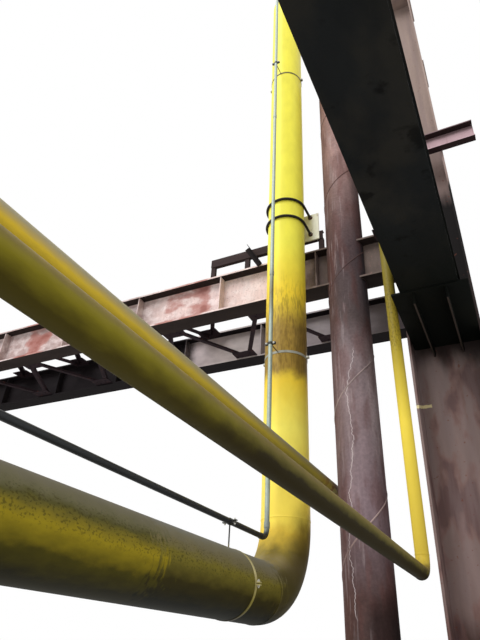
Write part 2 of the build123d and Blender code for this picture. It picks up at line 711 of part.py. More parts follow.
box_start = NEAR_COLUMN_Y + COLUMN_WEB / 2 + BOX_END_GAP + BOX_END_PLATE
box_end = -COLUMN_WEB / 2 - BOX_END_GAP - BOX_END_PLATE
save("box_girder", box_girder(box_start, box_end))
save("far_corbel", corbel(0, COLUMN_WIDTH, -1))
save("near_corbel", corbel(NEAR_COLUMN_Y, NEAR_COLUMN_WIDTH, 1))

stub_y = -COLUMN_DEPTH / 2
stub_z = STUB_TOP - STUB_DEPTH / 2
stub_profile = channel_profile(STUB_DEPTH, STUB_WIDTH, STUB_WEB, STUB_FLANGE)
stub_right = RIGHT_COLUMN_X + COLUMN_WIDTH / 2 + STUB_OVERHANG
save("stub_beam", bar(stub_profile, (stub_right, stub_y, stub_z), (right_face, stub_y, stub_z), (0, 0, 1)))

tie_profile = i_profile(TIE_DEPTH, TIE_WIDTH, TIE_FLANGE, TIE_WEB, TIE_ROOT)
head_z = HEAD_TIE_TOP - TIE_DEPTH / 2
head_tie = bar(tie_profile, (0, 0, head_z), (right_face, 0, head_z), (0, 0, 1))
ties = [coped(head_tie, 0)]
for x, column_top in ((RIGHT_COLUMN_X, COLUMN_TOP), (LEFT_COLUMN_X, LEFT_END_TOP)):
    for tie_top in (LOW_CROSS_TIE_TOP, column_top - HIGH_CROSS_TIE_DROP):
        z = tie_top - TIE_DEPTH / 2
        start = (x, COLUMN_WEB / 2, z)
        end = (x, GIRDER_SPACING - COLUMN_WEB / 2, z)
        ties.append(bar(tie_profile, start, end, (0, 0, 1)))
save("column_ties", *ties)

save("riser_u_bolts", *[u_bolt(z) for z in U_BOLT_HEIGHTS])
save("riser_back_plate", back_plate())
save("anchor_rail", anchor_rail())
save("run_band_clamps", *[run_clamp(y) for y in RUN_BANDS_Y])
save("riser_band_clamps", *[riser_clamp(z) for z in RISER_BANDS_Z])

save("near_frame_posts", frame_post(LEFT_POST_X), frame_post(RIGHT_POST_X))
post_bases = [
    plate_with_holes(
        x, FRAME_Y, 0, POST_BASE, POST_BASE, POST_BASE_THICKNESS,
        POST_ANCHOR_SPACING, POST_ANCHOR_SPACING, POST_ANCHOR_HOLE,
    )
    for x in (LEFT_POST_X, RIGHT_POST_X)
]
save("near_frame_bases", *post_bases)
low_beam = frame_beam(LOW_BEAM_TOP, LOW_BEAM_DEPTH, LOW_BEAM_WIDTH)
high_beam = frame_beam(HIGH_BEAM_TOP, HIGH_BEAM_DEPTH, HIGH_BEAM_WIDTH)
save("near_frame_beams", low_beam, high_beam)
save("pipe_supports", main_saddle(), front_stool())

front_arm_x = right_face - GUIDE_ARM / 2 - GUIDE_SIDE_GAP
rear_arm_x = STIFFENER_THICKNESS / 2 - STIFFENER_FROM_TUBE + GUIDE_SIDE_GAP + GUIDE_ARM / 2
front_guide = riser_guide(FRONT_X, FRONT_RISER_Y, FRONT_OD, 0, front_arm_x)
rear_guide = riser_guide(REAR_X, REAR_RISER_Y, REAR_OD, GIRDER_SPACING, rear_arm_x)
save("riser_guides", front_guide, rear_guide)
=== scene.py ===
import json
import math
import bmesh
import bpy
import numpy as np
from mathutils import Matrix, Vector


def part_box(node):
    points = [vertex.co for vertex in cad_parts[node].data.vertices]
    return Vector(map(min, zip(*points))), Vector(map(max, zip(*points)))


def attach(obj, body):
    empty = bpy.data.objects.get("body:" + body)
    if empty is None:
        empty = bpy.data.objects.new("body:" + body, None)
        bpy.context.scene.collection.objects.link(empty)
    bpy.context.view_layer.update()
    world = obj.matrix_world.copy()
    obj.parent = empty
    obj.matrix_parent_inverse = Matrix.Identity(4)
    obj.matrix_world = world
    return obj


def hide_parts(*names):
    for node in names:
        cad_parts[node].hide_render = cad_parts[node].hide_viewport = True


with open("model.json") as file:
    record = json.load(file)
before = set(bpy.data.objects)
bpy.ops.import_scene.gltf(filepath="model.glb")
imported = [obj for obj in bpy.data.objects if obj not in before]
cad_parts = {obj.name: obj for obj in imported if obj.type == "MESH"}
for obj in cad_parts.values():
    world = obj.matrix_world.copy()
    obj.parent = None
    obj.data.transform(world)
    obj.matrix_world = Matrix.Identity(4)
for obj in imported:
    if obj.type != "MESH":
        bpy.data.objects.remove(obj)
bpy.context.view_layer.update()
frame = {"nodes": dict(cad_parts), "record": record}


# Tube columns. Spiral-welded steel tubes, cut square, in weathered red-brown primer. The seam winds up
# the outside as a raised bead, and a chalky crack wanders down the face that looks along the pipes.

def place(node):
    """Lowest corner, highest corner and middle of a CAD node, in metres."""
    low, high = (np.array(corner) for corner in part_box(node))
    return low, high, (low + high) / 2


def tint(red, green, blue):
    """Linear colour of a paint whose shade on a screen is given from 0 to 255."""
    share = np.array([red, green, blue]) / 255
    linear = np.where(share <= 0.04045, share / 12.92, ((share + 0.055) / 1.055) ** 2.4)
    return (*linear.tolist(), 1.0)


class Coat:
    """A finish on steel: one Principled shader, fed by patterns that read Object coordinates in metres."""

    def __init__(self, name, roughness, shine=0.2, metallic=0.0):
        self.material = bpy.data.materials.new(name)
        self.material.use_nodes = True
        self.nodes = self.material.node_tree.nodes
        self.shader = next(n for n in self.nodes if n.type == "BSDF_PRINCIPLED")
        self.shader.inputs["Roughness"].default_value = roughness
        self.shader.inputs["Specular IOR Level"].default_value = shine
        self.shader.inputs["Metallic"].default_value = metallic
        self.where = self.nodes.new("ShaderNodeTexCoord").outputs["Object"]
        place_axes = self.nodes.new("ShaderNodeSeparateXYZ")
        self.feed(place_axes.inputs[0], self.where)
        self.x, self.y, self.z = place_axes.outputs
        facing_axes = self.nodes.new("ShaderNodeSeparateXYZ")
        self.feed(facing_axes.inputs[0], self.nodes.new("ShaderNodeNewGeometry").outputs["Normal"])
        self.facing_x, self.facing_y, self.facing_z = facing_axes.outputs

    def feed(self, socket, value):
        """Links a pattern to a socket, or sets the socket to a plain number or colour."""
        if isinstance(value, bpy.types.NodeSocket):
            self.material.node_tree.links.new(value, socket)
        else:
            socket.default_value = value

    def maths(self, operation, first, second=0.0):
        """Result of one named operation, such as ADD, on two numbers or patterns."""
        node = self.nodes.new("ShaderNodeMath")
        node.operation = operation
        self.feed(node.inputs[0], first)
        self.feed(node.inputs[1], second)
        return node.outputs[0]

    def times(self, *factors):
        result = factors[0]
        for factor in factors[1:]:
            result = self.maths("MULTIPLY", result, factor)
        return result

    def line(self, value, start, end, low=0.0, high=1.0):
        """Runs straight from low at start to high at end, and stays level beyond them."""
        node = self.nodes.new("ShaderNodeMapRange")
        self.feed(node.inputs["Value"], value)
        for name, number in (("From Min", start), ("From Max", end), ("To Min", low), ("To Max", high)):
            node.inputs[name].default_value = number
        return node.outputs["Result"]

    def ramp(self, value, start, end):
        """Rises smoothly from 0 at start to 1 at end."""
        result = self.line(value, start, end)
        result.node.interpolation_type = "SMOOTHSTEP"
        return result

    def between(self, value, start, full, fade, end):
        """Rises smoothly from 0 at start to 1 when full, then falls from fade to 0 again at end."""
        return self.times(self.ramp(value, start, full), self.ramp(value, end, fade))

    def cloud(self, size, draw=(1, 1, 1), detail=4.0, shift=0.0):
        """Noise whose patches are about size metres across, drawn out by a factor along each axis."""
        stretch = self.nodes.new("ShaderNodeMapping")
        stretch.inputs["Scale"].default_value = [1 / (size * factor) for factor in draw]
        stretch.inputs["Location"].default_value = (shift, shift, shift)
        self.feed(stretch.inputs["Vector"], self.where)
        node = self.nodes.new("ShaderNodeTexNoise")
        node.inputs["Scale"].default_value = 1.0
        node.inputs["Detail"].default_value = detail
        self.feed(node.inputs["Vector"], stretch.outputs[0])
        return node.outputs["Fac"]

    def patches(self, size, share, draw=(1, 1, 1), detail=4.0, edge=0.06, shift=0.0):
        """Patches of noise with soft edges. A larger share covers more of the surface."""
        level = 0.75 - 0.5 * share
        return self.ramp(self.cloud(size, draw, detail, shift), level - edge, level + edge)

    def wavy(self, value, reach, size, draw=(1, 1, 1), detail=4.0, shift=0.0):
        """The value, moved up and down by noise, at most by the reach."""
        noise = self.maths("SUBTRACT", self.cloud(size, draw, detail, shift), 0.5)
        return self.maths("ADD", value, self.times(noise, 2 * reach))

    def blend(self, under, over, *amounts):
        """The under colour, covered by the over colour as far as the product of the amounts."""
        node = self.nodes.new("ShaderNodeMix")
        node.data_type = "RGBA"
        self.feed(node.inputs[0], self.times(*amounts))
        self.feed(node.inputs[6], under)
        self.feed(node.inputs[7], over)
        return node.outputs[2]

    def colour_run(self, value, stops, colours):
        """Colour that runs straight from each stop's value to the next."""
        first, last = stops[0][0], stops[-1][0]
        node = self.nodes.new("ShaderNodeValToRGB")
        for stop in stops[1:-1]:
            node.color_ramp.elements.new((stop[0] - first) / (last - first))
        for element, colour in zip(node.color_ramp.elements, colours):
            element.color = colour
        self.feed(node.inputs["Fac"], self.line(value, first, last))
        return node.outputs["Color"]

    def shades(self, value, *stops):
        """Colour that runs from stop to stop, each a value followed by the paint's shade there."""
        return self.colour_run(value, stops, [tint(*stop[1:]) for stop in stops])

    def course(self, value, *stops):
        """Number that runs straight from stop to stop, each a value followed by the number there."""
        numbers = [stop[1] for stop in stops]
        low, high = min(numbers), max(numbers)
        greys = [[(number - low) / (high - low)] * 3 + [1.0] for number in numbers]
        return self.line(self.colour_run(value, stops, greys), 0, 1, low, high)

    def mottle(self, colour, strength, size, draw=(1, 1, 1), detail=4.0, shift=0.0):
        """The colour, made lighter and darker in soft patches, at most by the strength."""
        node = self.nodes.new("ShaderNodeHueSaturation")
        self.feed(node.inputs["Color"], colour)
        self.feed(node.inputs["Value"], self.wavy(1.0, strength, size, draw, detail, shift))
        return node.outputs[0]

    def colour(self, value):
        self.feed(self.shader.inputs["Base Color"], value)

    def gloss(self, amount, dull, shiny):
        """Roughness that goes from dull to shiny with the amount."""
        self.feed(self.shader.inputs["Roughness"], self.line(amount, 0, 1, dull, shiny))

    def finish(self, colour, grain, depth, detail=4.0):
        """Lays on the colour, with a bumpy grain whose size and depth are given in metres."""
        self.colour(colour)
        node = self.nodes.new("ShaderNodeBump")
        node.inputs["Distance"].default_value = depth
        self.feed(node.inputs["Height"], self.cloud(grain, detail=detail))
        self.feed(self.shader.inputs["Normal"], node.outputs[0])


def dress(coat, *nodes):
    """Gives CAD nodes their finish."""
    for node in nodes:
        mesh = frame["nodes"][node].data
        mesh.materials.clear()
        mesh.materials.append(coat.material)


def build_piece(name, grids, coat, stands_for=()):
    """One closed mesh from grids of points. Quads join each point to its neighbours, every row closes on
    itself, and a grid's last row meets its first where it is marked as closed. Poles are merged, and
    edges that turn by more than 40 degrees stay sharp."""
    points, corners, first = [], [], 0
    for grid, closed in grids:
        rows, columns = grid.shape[:2]
        row = np.arange(rows if closed else rows - 1)[:, None]
        column = np.arange(columns)[None, :]
        below, beside = (row + 1) % rows, (column + 1) % columns
        low_row, high_row = row * columns, below * columns
        quads = [low_row + column, low_row + beside, high_row + beside, high_row + column]
        corners.append(np.stack(quads, -1).reshape(-1, 4) + first)
        points.append(grid.reshape(-1, 3))
        first += rows * columns
    mesh = bpy.data.meshes.new(name)
    mesh.from_pydata(np.concatenate(points).tolist(), [], np.concatenate(corners).tolist())
    shell = bmesh.new()
    shell.from_mesh(mesh)
    bmesh.ops.remove_doubles(shell, verts=shell.verts, dist=1e-6)
    bmesh.ops.recalc_face_normals(shell, faces=shell.faces)
    shell.to_mesh(mesh)
    shell.free()
    mesh.shade_smooth()
    mesh.set_sharp_from_angle(angle=math.radians(40))
    mesh.materials.append(coat.material)
    piece = bpy.data.objects.new(name, mesh)
    bpy.context.scene.collection.objects.link(piece)
    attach(piece, "root")
    if stands_for:
        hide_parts(*stands_for)
    return piece


def full_turn(columns):
    """Angles of evenly spaced columns, from 0 to just short of a full turn."""
    return 2 * np.pi * np.arange(columns) / columns


def rings(centres, across, up, radii, columns):
    """Rings of points: centre + radius (cos a across + sin a up), for a from 0 to a full turn."""
    turn = full_turn(columns)
    radii = np.asarray(radii, float)
    radii = np.broadcast_to(radii[:, None] if radii.ndim == 1 else radii, (len(centres), columns))
    arms = np.cos(turn)[None, :, None] * across[:, None, :] + np.sin(turn)[None, :, None] * up[:, None, :]
    return centres[:, None, :] + radii[..., None] * arms


def hollow(centres, across, up, outer, inner, columns):
    """Wall of a pipe: the outside rings from end to end, then the inside rings back to the start."""
    outside = rings(centres, across, up, outer, columns)
    inside = rings(centres, across, up, inner, columns)
    return np.concatenate([outside, inside[::-1]]), True


def bead(route, outward, width, height):
    """Weld bead along a route: an oval, width across and height proud. Its size swells along the route as
    1 + 0.12 sin(2.4 step) cos(0.7 step), and it is drawn to a point at both ends."""
    along = np.gradient(route, axis=0)
    along /= np.linalg.norm(along, axis=1)[:, None]
    side = np.cross(along, outward)
    side /= np.linalg.norm(side, axis=1)[:, None]
    step = np.arange(len(route))
    swell = 1 + 0.12 * np.sin(step * 2.4) * np.cos(step * 0.7)
    swell[[0, -1]] = 0
    return rings(route, side * width / 2, outward * height, swell, 8), False


def on_tube(middle, radius, angle, height):
    """Points on a tube: middle + radius (cos angle, sin angle), each at its height."""
    heights = np.broadcast_to(height, angle.shape)
    return np.stack([middle[0] + radius * np.cos(angle), middle[1] + radius * np.sin(angle), heights], 1)


oxide = Coat("red_brown_primer", 0.72, 0.08)
tube_height = oxide.wavy(oxide.z, 0.25, 0.4, (1, 1, 1.5))
# The primer runs darker from 5.2 to 6.3 m with painted shade under the girder, and darker towards the foot.
primer = oxide.shades(
    tube_height, (1.2, 65, 50, 48), (2.1, 80, 62, 60), (2.9, 128, 110, 116), (4.6, 138, 122, 124),
    (5.2, 86, 74, 74), (6.3, 82, 68, 70), (8.2, 155, 126, 122))
on_left = oxide.ramp(oxide.facing_x, -0.1, -0.7)
primer = oxide.blend(primer, tint(104, 70, 60), on_left, 0.4)
on_right = oxide.ramp(oxide.facing_x, 0.6, 0.97)
chalky = oxide.times(on_right, oxide.between(tube_height, 3.2, 3.8, 4.7, 5.1))
primer = oxide.blend(primer, tint(192, 180, 182), chalky, 0.4)
# Painted shade on the tube's right side above the girder.
girder_shade_on_right = oxide.times(on_right, oxide.ramp(tube_height, 5.2, 5.8))
primer = oxide.blend(primer, tint(42, 46, 52), girder_shade_on_right, 0.5)
worn_through = oxide.patches(0.16, 0.42, (1, 1, 3.5), 5, 0.08, 13)
primer = oxide.blend(primer, tint(96, 62, 58), worn_through, 0.45)
pale_streaks = oxide.patches(0.03, 0.3, (1, 1, 14), 4, 0.08, 17)
on_front = oxide.ramp(oxide.facing_x, 0.4, 0.1)
primer = oxide.blend(primer, tint(184, 170, 172), pale_streaks, on_front, 0.25)
# Painted shadow low down on the tube's right side.
low_shadow_on_right = oxide.times(
    oxide.ramp(oxide.facing_x, 0.0, 0.45), oxide.between(tube_height, 1.3, 1.65, 1.95, 2.25))
primer = oxide.blend(primer, tint(32, 26, 26), low_shadow_on_right, 0.75)
primer = oxide.mottle(primer, 0.35, 0.09, (1, 1, 6), shift=3)
primer = oxide.mottle(primer, 0.3, 0.03, detail=3, shift=5)
crack_bearing = oxide.course(
    oxide.z, (1.96, -106), (2.63, -117), (2.92, -100), (3.03, -109), (3.24, -100), (3.48, -94),
    (3.65, -89), (3.90, -93), (4.21, -99), (4.73, -71))
crack_bearing = oxide.wavy(crack_bearing, 9.0, 0.06, (9, 9, 1), 5)
bearing = oxide.times(oxide.maths("ARCTAN2", oxide.y, oxide.x), 180 / math.pi)
off_crack = oxide.maths("ABSOLUTE", oxide.maths("SUBTRACT", bearing, crack_bearing))
cracked_height = oxide.between(oxide.z, 1.9, 2.0, 4.7, 4.8)
crack = oxide.times(oxide.ramp(off_crack, 1.3, 0.4), cracked_height)
primer = oxide.blend(primer, tint(206, 194, 196), crack, 0.7)
oxide.finish(primer, 0.02, 0.002, 3)

# Painted highlight: the seam bead is pale where light catches its raised edge, and darker above 4.9 m with
# painted shade.
seam_highlight_and_shade = Coat("seam_highlight_and_shade", 0.6, 0.1)
seam_shade = seam_highlight_and_shade.shades(
    seam_highlight_and_shade.z, (2.0, 132, 104, 98), (3.3, 168, 150, 148), (4.5, 150, 134, 132), (4.9, 74, 60, 60),
    (8.2, 92, 66, 62))
seam_highlight_and_shade.colour(seam_highlight_and_shade.mottle(seam_shade, 0.5, 0.15))

tube_columns = ("right_tube_column", "left_tube_column")
tube_wall, rings_up, columns_round = 0.012, 12, 96
seam_pitch, seam_phase, seam_height_at_phase = 1.64, math.radians(-60), 2.79
seam_end_gap, seam_step, seam_width, seam_proud = 0.05, 0.0045, 0.018, 0.0045
for node in tube_columns:
    low, high, middle = place(node)
    radius = (high[0] - low[0]) / 2
    centres = np.linspace((*middle[:2], low[2]), (*middle[:2], high[2]), rings_up)
    across, up = np.tile([1.0, 0, 0], (rings_up, 1)), np.tile([0, 1.0, 0], (rings_up, 1))
    wall = hollow(centres, across, up, radius, radius - tube_wall, columns_round)
    build_piece(node + "_tube", [wall], oxide, [node])
    climb = np.arange(low[2] + seam_end_gap, high[2] - seam_end_gap, seam_step)
    angle = seam_phase + (climb - seam_height_at_phase) * 2 * np.pi / seam_pitch
    outward = on_tube((0, 0), 1, angle, 0)
    seam = bead(on_tube(middle, radius, angle, climb), outward, seam_width, seam_proud)
    build_piece(node + "_seam", [seam], seam_highlight_and_shade)

dress(oxide, "tube_bases")


# Plate columns. Broad H-sections welded from plate, with base plates held by anchor bolts and a cap plate
# on top. The mauve primer is hazed in upright streaks and blotched with wear low down. It is black with
# painted shade and soot beside the box girder, and dark with painted shadow and soot under the corbel.
# A short dab of pale paint crosses the web of the right front one.

mauve = Coat("mauve_primer", 0.7, 0.08)
column_height = mauve.wavy(mauve.z, 0.3, 0.25, (1, 1, 3))
haze = mauve.shades(
    column_height, (0.0, 84, 66, 62), (1.85, 82, 62, 58), (2.1, 130, 110, 106), (4.4, 134, 117, 114),
    (7.0, 140, 121, 116), (9.0, 152, 134, 126))
blotched = mauve.maths("SUBTRACT", mauve.cloud(0.25, (1, 1, 2.6), 4, 21), 0.5)
low_down = mauve.ramp(mauve.z, 5.2, 4.6)
haze = mauve.blend(haze, tint(124, 84, 76), mauve.ramp(blotched, -0.02, 0.04), low_down, 0.4)
haze = mauve.blend(haze, tint(84, 66, 68), mauve.ramp(blotched, 0.02, 0.10), low_down, 0.55)
streaks = mauve.patches(0.08, 0.4, (1, 1, 10), edge=0.12)
haze = mauve.blend(haze, tint(136, 120, 120), streaks, 0.35)
haze = mauve.mottle(haze, 0.3, 0.12, (1, 1, 9), shift=5)
# Painted shade with soot: near-black on the right columns just above the box girder.
box_shade_and_soot = mauve.times(
    mauve.between(column_height, 5.0, 5.5, 6.75, 7.05), mauve.ramp(mauve.x, 0.3, 0.6),
    mauve.ramp(mauve.y, -2.0, -1.5))
haze = mauve.blend(haze, tint(26, 23, 23), box_shade_and_soot)
# Painted shadow with soot on the web just under the corbel.
corbel_shadow_and_soot = mauve.times(
    mauve.ramp(column_height, 4.35, 4.65), mauve.ramp(mauve.z, 5.6, 5.4), mauve.ramp(mauve.x, 0.5, 0.9))
haze = mauve.blend(haze, tint(34, 28, 28), corbel_shadow_and_soot, 0.85)
rust_spots = mauve.patches(0.04, 0.12, detail=5, edge=0.03, shift=11)
haze = mauve.blend(haze, tint(112, 62, 48), rust_spots, 0.6)
dab_height = mauve.maths("SUBTRACT", mauve.z, mauve.times(mauve.y, 0.38))
dab_height = mauve.wavy(dab_height, 0.008, 0.03)
dab = mauve.times(
    mauve.between(mauve.x, 0.7, 0.705, 0.83, 0.84), mauve.between(mauve.y, -0.36, -0.35, -0.005, 0.0),
    mauve.between(dab_height, 3.985, 3.99, 4.02, 4.025), mauve.ramp(mauve.facing_x, -0.6, -0.4))
haze = mauve.blend(haze, tint(222, 208, 160), dab)
mauve.finish(haze, 0.03, 0.002, 3)

plate_columns = [
    "right_front_column", "right_rear_column", "left_front_column", "left_rear_column", "near_column"]
dress(mauve, *plate_columns, "column_bases", "column_caps", "column_ties")


def lathe(foot, axis, rows, columns=24):
    """Turned form on an axis. Each row is (radius, height, sides): the radius is the same all round, or
    where sides is 6 it grows towards a hexagon's corners as radius / cos(angle from the flat's middle)."""
    rows, axis = np.array(rows, float), np.array(axis, float)
    spare = np.array([0, 0, 1.0]) if abs(axis[2]) < 0.5 else np.array([1.0, 0, 0])
    across = np.cross(axis, spare)
    across /= np.linalg.norm(across)
    turn = full_turn(columns)
    from_flat = (turn + np.pi / 6) % (np.pi / 3) - np.pi / 6
    radii = rows[:, :1] * np.where(rows[:, 2:3] == 6, 1 / np.cos(from_flat)[None, :], 1.0)
    centres = np.array(foot, float) + rows[:, 1:2] * axis
    side = np.tile(across, (len(rows), 1))
    return rings(centres, side, np.tile(np.cross(axis, across), (len(rows), 1)), radii, columns), False


def stud_with_nut(foot, axis, size, columns=24):
    """Washer, hexagon nut and the end of the threaded stud, for a thread of the given diameter."""
    washer, nut, end, eased = 0.15 * size, 0.95 * size, 1.45 * size, 0.1 * size
    washer_radius, flat_radius, nut_top_radius = 1.1 * size, 0.8 * size, 0.72 * size
    rows = [
        (0, 0, 0), (washer_radius, 0, 0), (washer_radius, washer, 0), (flat_radius, washer, 6),
        (flat_radius, nut - eased, 6), (nut_top_radius, nut, 0), (size / 2, nut, 0),
        (size / 2, end - eased, 0), (size / 2 - eased, end, 0), (0, end, 0),
    ]
    return lathe(foot, axis, rows, columns)


worn_steel = Coat("oiled_rusty_steel", 0.5, 0.3, 0.6)
steel = worn_steel.blend(tint(74, 66, 60), tint(104, 92, 82), worn_steel.patches(0.02, 0.5, edge=0.1))
steel = worn_steel.blend(steel, tint(96, 54, 36), worn_steel.patches(0.05, 0.4, shift=4))
worn_steel.finish(steel, 0.004, 0.0005)


def anchor_spacing(mount_name):
    """Distances between the bolts of a stated pattern along x and y, in metres."""
    dims = next(mount["dims"] for mount in frame["record"]["mounts"] if mount["name"] == mount_name)
    return dims["spacing_x_mm"] / 1000, dims["spacing_y_mm"] / 1000


anchor_size, post_anchor_size = 0.033, 0.020
column_low, column_high, _ = place("right_front_column")
column_anchors_x, column_anchors_y = anchor_spacing("right_front_column_anchors")
past_column = column_anchors_x - (column_high[0] - column_low[0])
patterns = []
for node in plate_columns:
    low, high, _ = place(node)
    patterns.append((node, high[0] - low[0] + past_column, column_anchors_y))
for node in tube_columns:
    patterns.append((node, *anchor_spacing("right_tube_anchors")))
signs = [(-1, -1), (-1, 1), (1, -1), (1, 1)]
anchors = []
for node, spacing_x, spacing_y in patterns:
    low, _, middle = place(node)
    for sign_x, sign_y in signs:
        foot = (middle[0] + sign_x * spacing_x / 2, middle[1] + sign_y * spacing_y / 2, low[2])
        anchors.append(stud_with_nut(foot, (0, 0, 1), anchor_size))
post_low, post_high, _ = place("near_frame_bases")
post_anchors, _ = anchor_spacing("near_frame_left_post_anchors")
post_margin = (post_high[1] - post_low[1] - post_anchors) / 2
for left in (post_low[0] + post_margin, post_high[0] - post_margin - post_anchors):
    for x in (left, left + post_anchors):
        for y in (post_low[1] + post_margin, post_high[1] - post_margin):
            anchors.append(stud_with_nut((x, y, post_high[2]), (0, 0, 1), post_anchor_size))
build_piece("anchor_bolts", anchors, worn_steel)


def straight_bead(start, end, outward, size):
    """Fillet weld along a straight corner, 1.4 times as wide as it stands proud."""
    points_apart, width = 0.03, 1.4 * size
    count = max(4, int(np.linalg.norm(np.subtract(end, start)) / points_apart))
    outward = np.array(outward, float) / np.linalg.norm(outward)
    return bead(np.linspace(start, end, count), np.tile(outward, (count, 1)), width, size)


def round_bead(middle, radius, angle, height, rise, size):
    """Fillet weld round a tube, on top of a plate where rise is 1 and under it where rise is -1."""
    width = 0.014
    outward = on_tube((0, 0), 1, angle, rise) / math.sqrt(2)
    return bead(on_tube(middle, radius, angle, height), outward, width, size)


base_weld = 0.010
base_welds = []
for node in plate_columns:
    low, high, middle = place(node)
    for sign_x, sign_y in signs:
        x = low[0] if sign_x < 0 else high[0]
        end_y = middle[1] + sign_y * (high[1] - low[1]) / 2
        start, end = (x, middle[1], low[2]), (x, end_y, low[2])
        base_welds.append(straight_bead(start, end, (sign_x, 0, 1), base_weld))
for node in tube_columns:
    low, high, middle = place(node)
    angle = np.linspace(0, 2 * np.pi, 97)
    base_welds.append(round_bead(middle, (high[0] - low[0]) / 2, angle, low[2], 1, base_weld))
build_piece("base_welds", base_welds, mauve)


# Girders. Two rolled I-sections side by side, with stiffener plates welded into their webs. The front
# one, welded to the tubes, has chalked to a pale pink that red rust breaks through, and is darkened with
# painted shade and soot underneath. The rear one is purple-grey behind and near-black in front with
# painted shade and soot, with a pale stretch of painted light beside the riser.

chalk = Coat("chalked_pink_primer", 0.8, 0.08)
along_web = chalk.wavy(chalk.x, 0.35, 0.3, (1, 1, 1.4), 5)
web = chalk.shades(
    along_web, (-9.0, 172, 148, 145), (-3.3, 180, 157, 153), (-2.95, 222, 198, 193), (-0.75, 228, 204, 200),
    (-0.4, 112, 98, 92), (0.8, 100, 88, 82))
whitened = chalk.times(
    chalk.patches(0.14, 0.45, (1.6, 1, 1), edge=0.12, shift=7), chalk.ramp(chalk.x, -0.4, -0.8))
web = chalk.blend(web, tint(246, 234, 232), whitened, 0.45)
web = chalk.mottle(web, 0.22, 0.16, (1.3, 1, 1), shift=2)
web = chalk.mottle(web, 0.2, 0.04, (1, 1, 4), shift=3)
flake_zone = chalk.course(
    chalk.x, (-9.0, 0.32), (-6.1, 0.32), (-5.8, 0.6), (-5.4, 0.6), (-5.1, 0.3), (-3.1, 0.3), (-2.9, 0.62),
    (-2.2, 0.58), (-2.0, 0.27), (0.8, 0.27))
flaked = chalk.maths("ADD", chalk.cloud(0.35, (1.5, 1, 0.8), 7, 1.5), flake_zone)
web = chalk.blend(web, tint(172, 108, 98), chalk.ramp(flaked, 0.97, 1.1), 0.75)
web = chalk.blend(web, tint(138, 76, 66), chalk.ramp(flaked, 1.1, 1.2), 0.6)
specks = chalk.patches(0.02, 0.2, detail=3, edge=0.05, shift=9)
web = chalk.blend(web, tint(150, 112, 106), specks, 0.5)
# Painted shade with soot on the undersides.
under = chalk.ramp(chalk.facing_z, -0.5, -0.9)
web = chalk.blend(web, chalk.mottle(tint(46, 38, 36), 0.5, 0.2, (3, 1, 1)), under)
on_top = chalk.ramp(chalk.facing_z, 0.5, 0.9)
web = chalk.blend(web, tint(128, 112, 106), on_top)
chalk.finish(web, 0.02, 0.0025)

plum = Coat("purple_grey_primer", 0.75, 0.05)
along_rear = plum.wavy(plum.x, 0.3, 0.3, (1, 1, 1.4), 5)
# In front, the near-black left of x = -3.2 m is painted shade with soot, and the pale stretch from there
# towards the riser is painted light.
grey = plum.shades(
    along_rear, (-9.0, 34, 30, 32), (-3.5, 30, 26, 28), (-3.2, 190, 177, 178), (-2.4, 178, 168, 166),
    (-1.0, 158, 150, 154), (0.8, 94, 86, 90))
behind = plum.ramp(plum.facing_y, 0.2, 0.6)
grey = plum.blend(grey, tint(96, 86, 88), behind)
grey = plum.mottle(grey, 0.3, 0.1, (2, 1, 1), shift=3)
dusty = plum.ramp(plum.facing_z, 0.5, 0.9)
grey = plum.blend(grey, tint(112, 98, 94), dusty)
# Painted shade with soot on the undersides.
rear_underside_shade_and_soot = plum.ramp(plum.facing_z, -0.5, -0.9)
grey = plum.blend(grey, tint(28, 24, 26), rear_underside_shade_and_soot)
plum.finish(grey, 0.02, 0.002)

dress(chalk, "front_girder_right_bay", "front_girder_span", "front_girder_left_bay")
dress(chalk, "front_girder_stiffeners")
dress(plum, "rear_girder", "rear_girder_stiffeners")

stiffener_count, stiffener_thickness, girder_web = 6, 0.012, 0.0135
joint_weld, stiffener_weld, weld_end_gap = 0.009, 0.006, 0.03
girder_low, girder_high, _ = place("front_girder_span")
joint_welds = []
for node in tube_columns:
    low, high, middle = place(node)
    radius = (high[0] - low[0]) / 2
    spread = math.asin(girder_high[1] / radius)
    for side in (0, math.pi):
        angle = side + np.linspace(-spread, spread, 25)
        for z, rise in ((girder_low[2], -1), (girder_high[2], 1)):
            joint_welds.append(round_bead(middle, radius, angle, z, rise, joint_weld))
for name, girder, coat, slot, welds in (
    ("front_girder_welds", "front_girder", chalk, "chalky_pink_paint", joint_welds),
    ("rear_girder_welds", "rear_girder", plum, "purple_grey_paint", []),
):
    low, high, middle = place(girder + "_stiffeners")
    first, last = low[0] + stiffener_thickness / 2, high[0] - stiffener_thickness / 2
    for x in np.linspace(first, last, stiffener_count):
        for side in (-1, 1):
            for face in (-1, 1):
                corner_x = x + side * stiffener_thickness / 2
                corner_y = middle[1] + face * girder_web / 2
                start = (corner_x, corner_y, low[2] + weld_end_gap)
                end = (corner_x, corner_y, high[2] - weld_end_gap)
                welds.append(straight_bead(start, end, (side, face, 0), stiffener_weld))
    build_piece(name, welds, coat)


# Lacing. Zigzag frames of angles between the girders' flanges, each end held to its gusset plate by two
# bolts, in a dark purple primer that holds dust on its upper legs.

dusky = Coat("dark_purple_primer", 0.75, 0.04)
dark = dusky.mottle(tint(44, 35, 39), 0.45, 0.15, shift=1)
dust_on_top = dusky.ramp(dusky.facing_z, 0.5, 0.9)
dark = dusky.blend(dark, tint(120, 104, 98), dust_on_top, 0.7)
rusty = dusky.patches(0.05, 0.2, shift=6)
dark = dusky.blend(dark, tint(84, 52, 44), rusty, 0.6)
dusky.finish(dark, 0.015, 0.0015)
dress(dusky, "bottom_lacing", "top_lacing", "riser_guides")

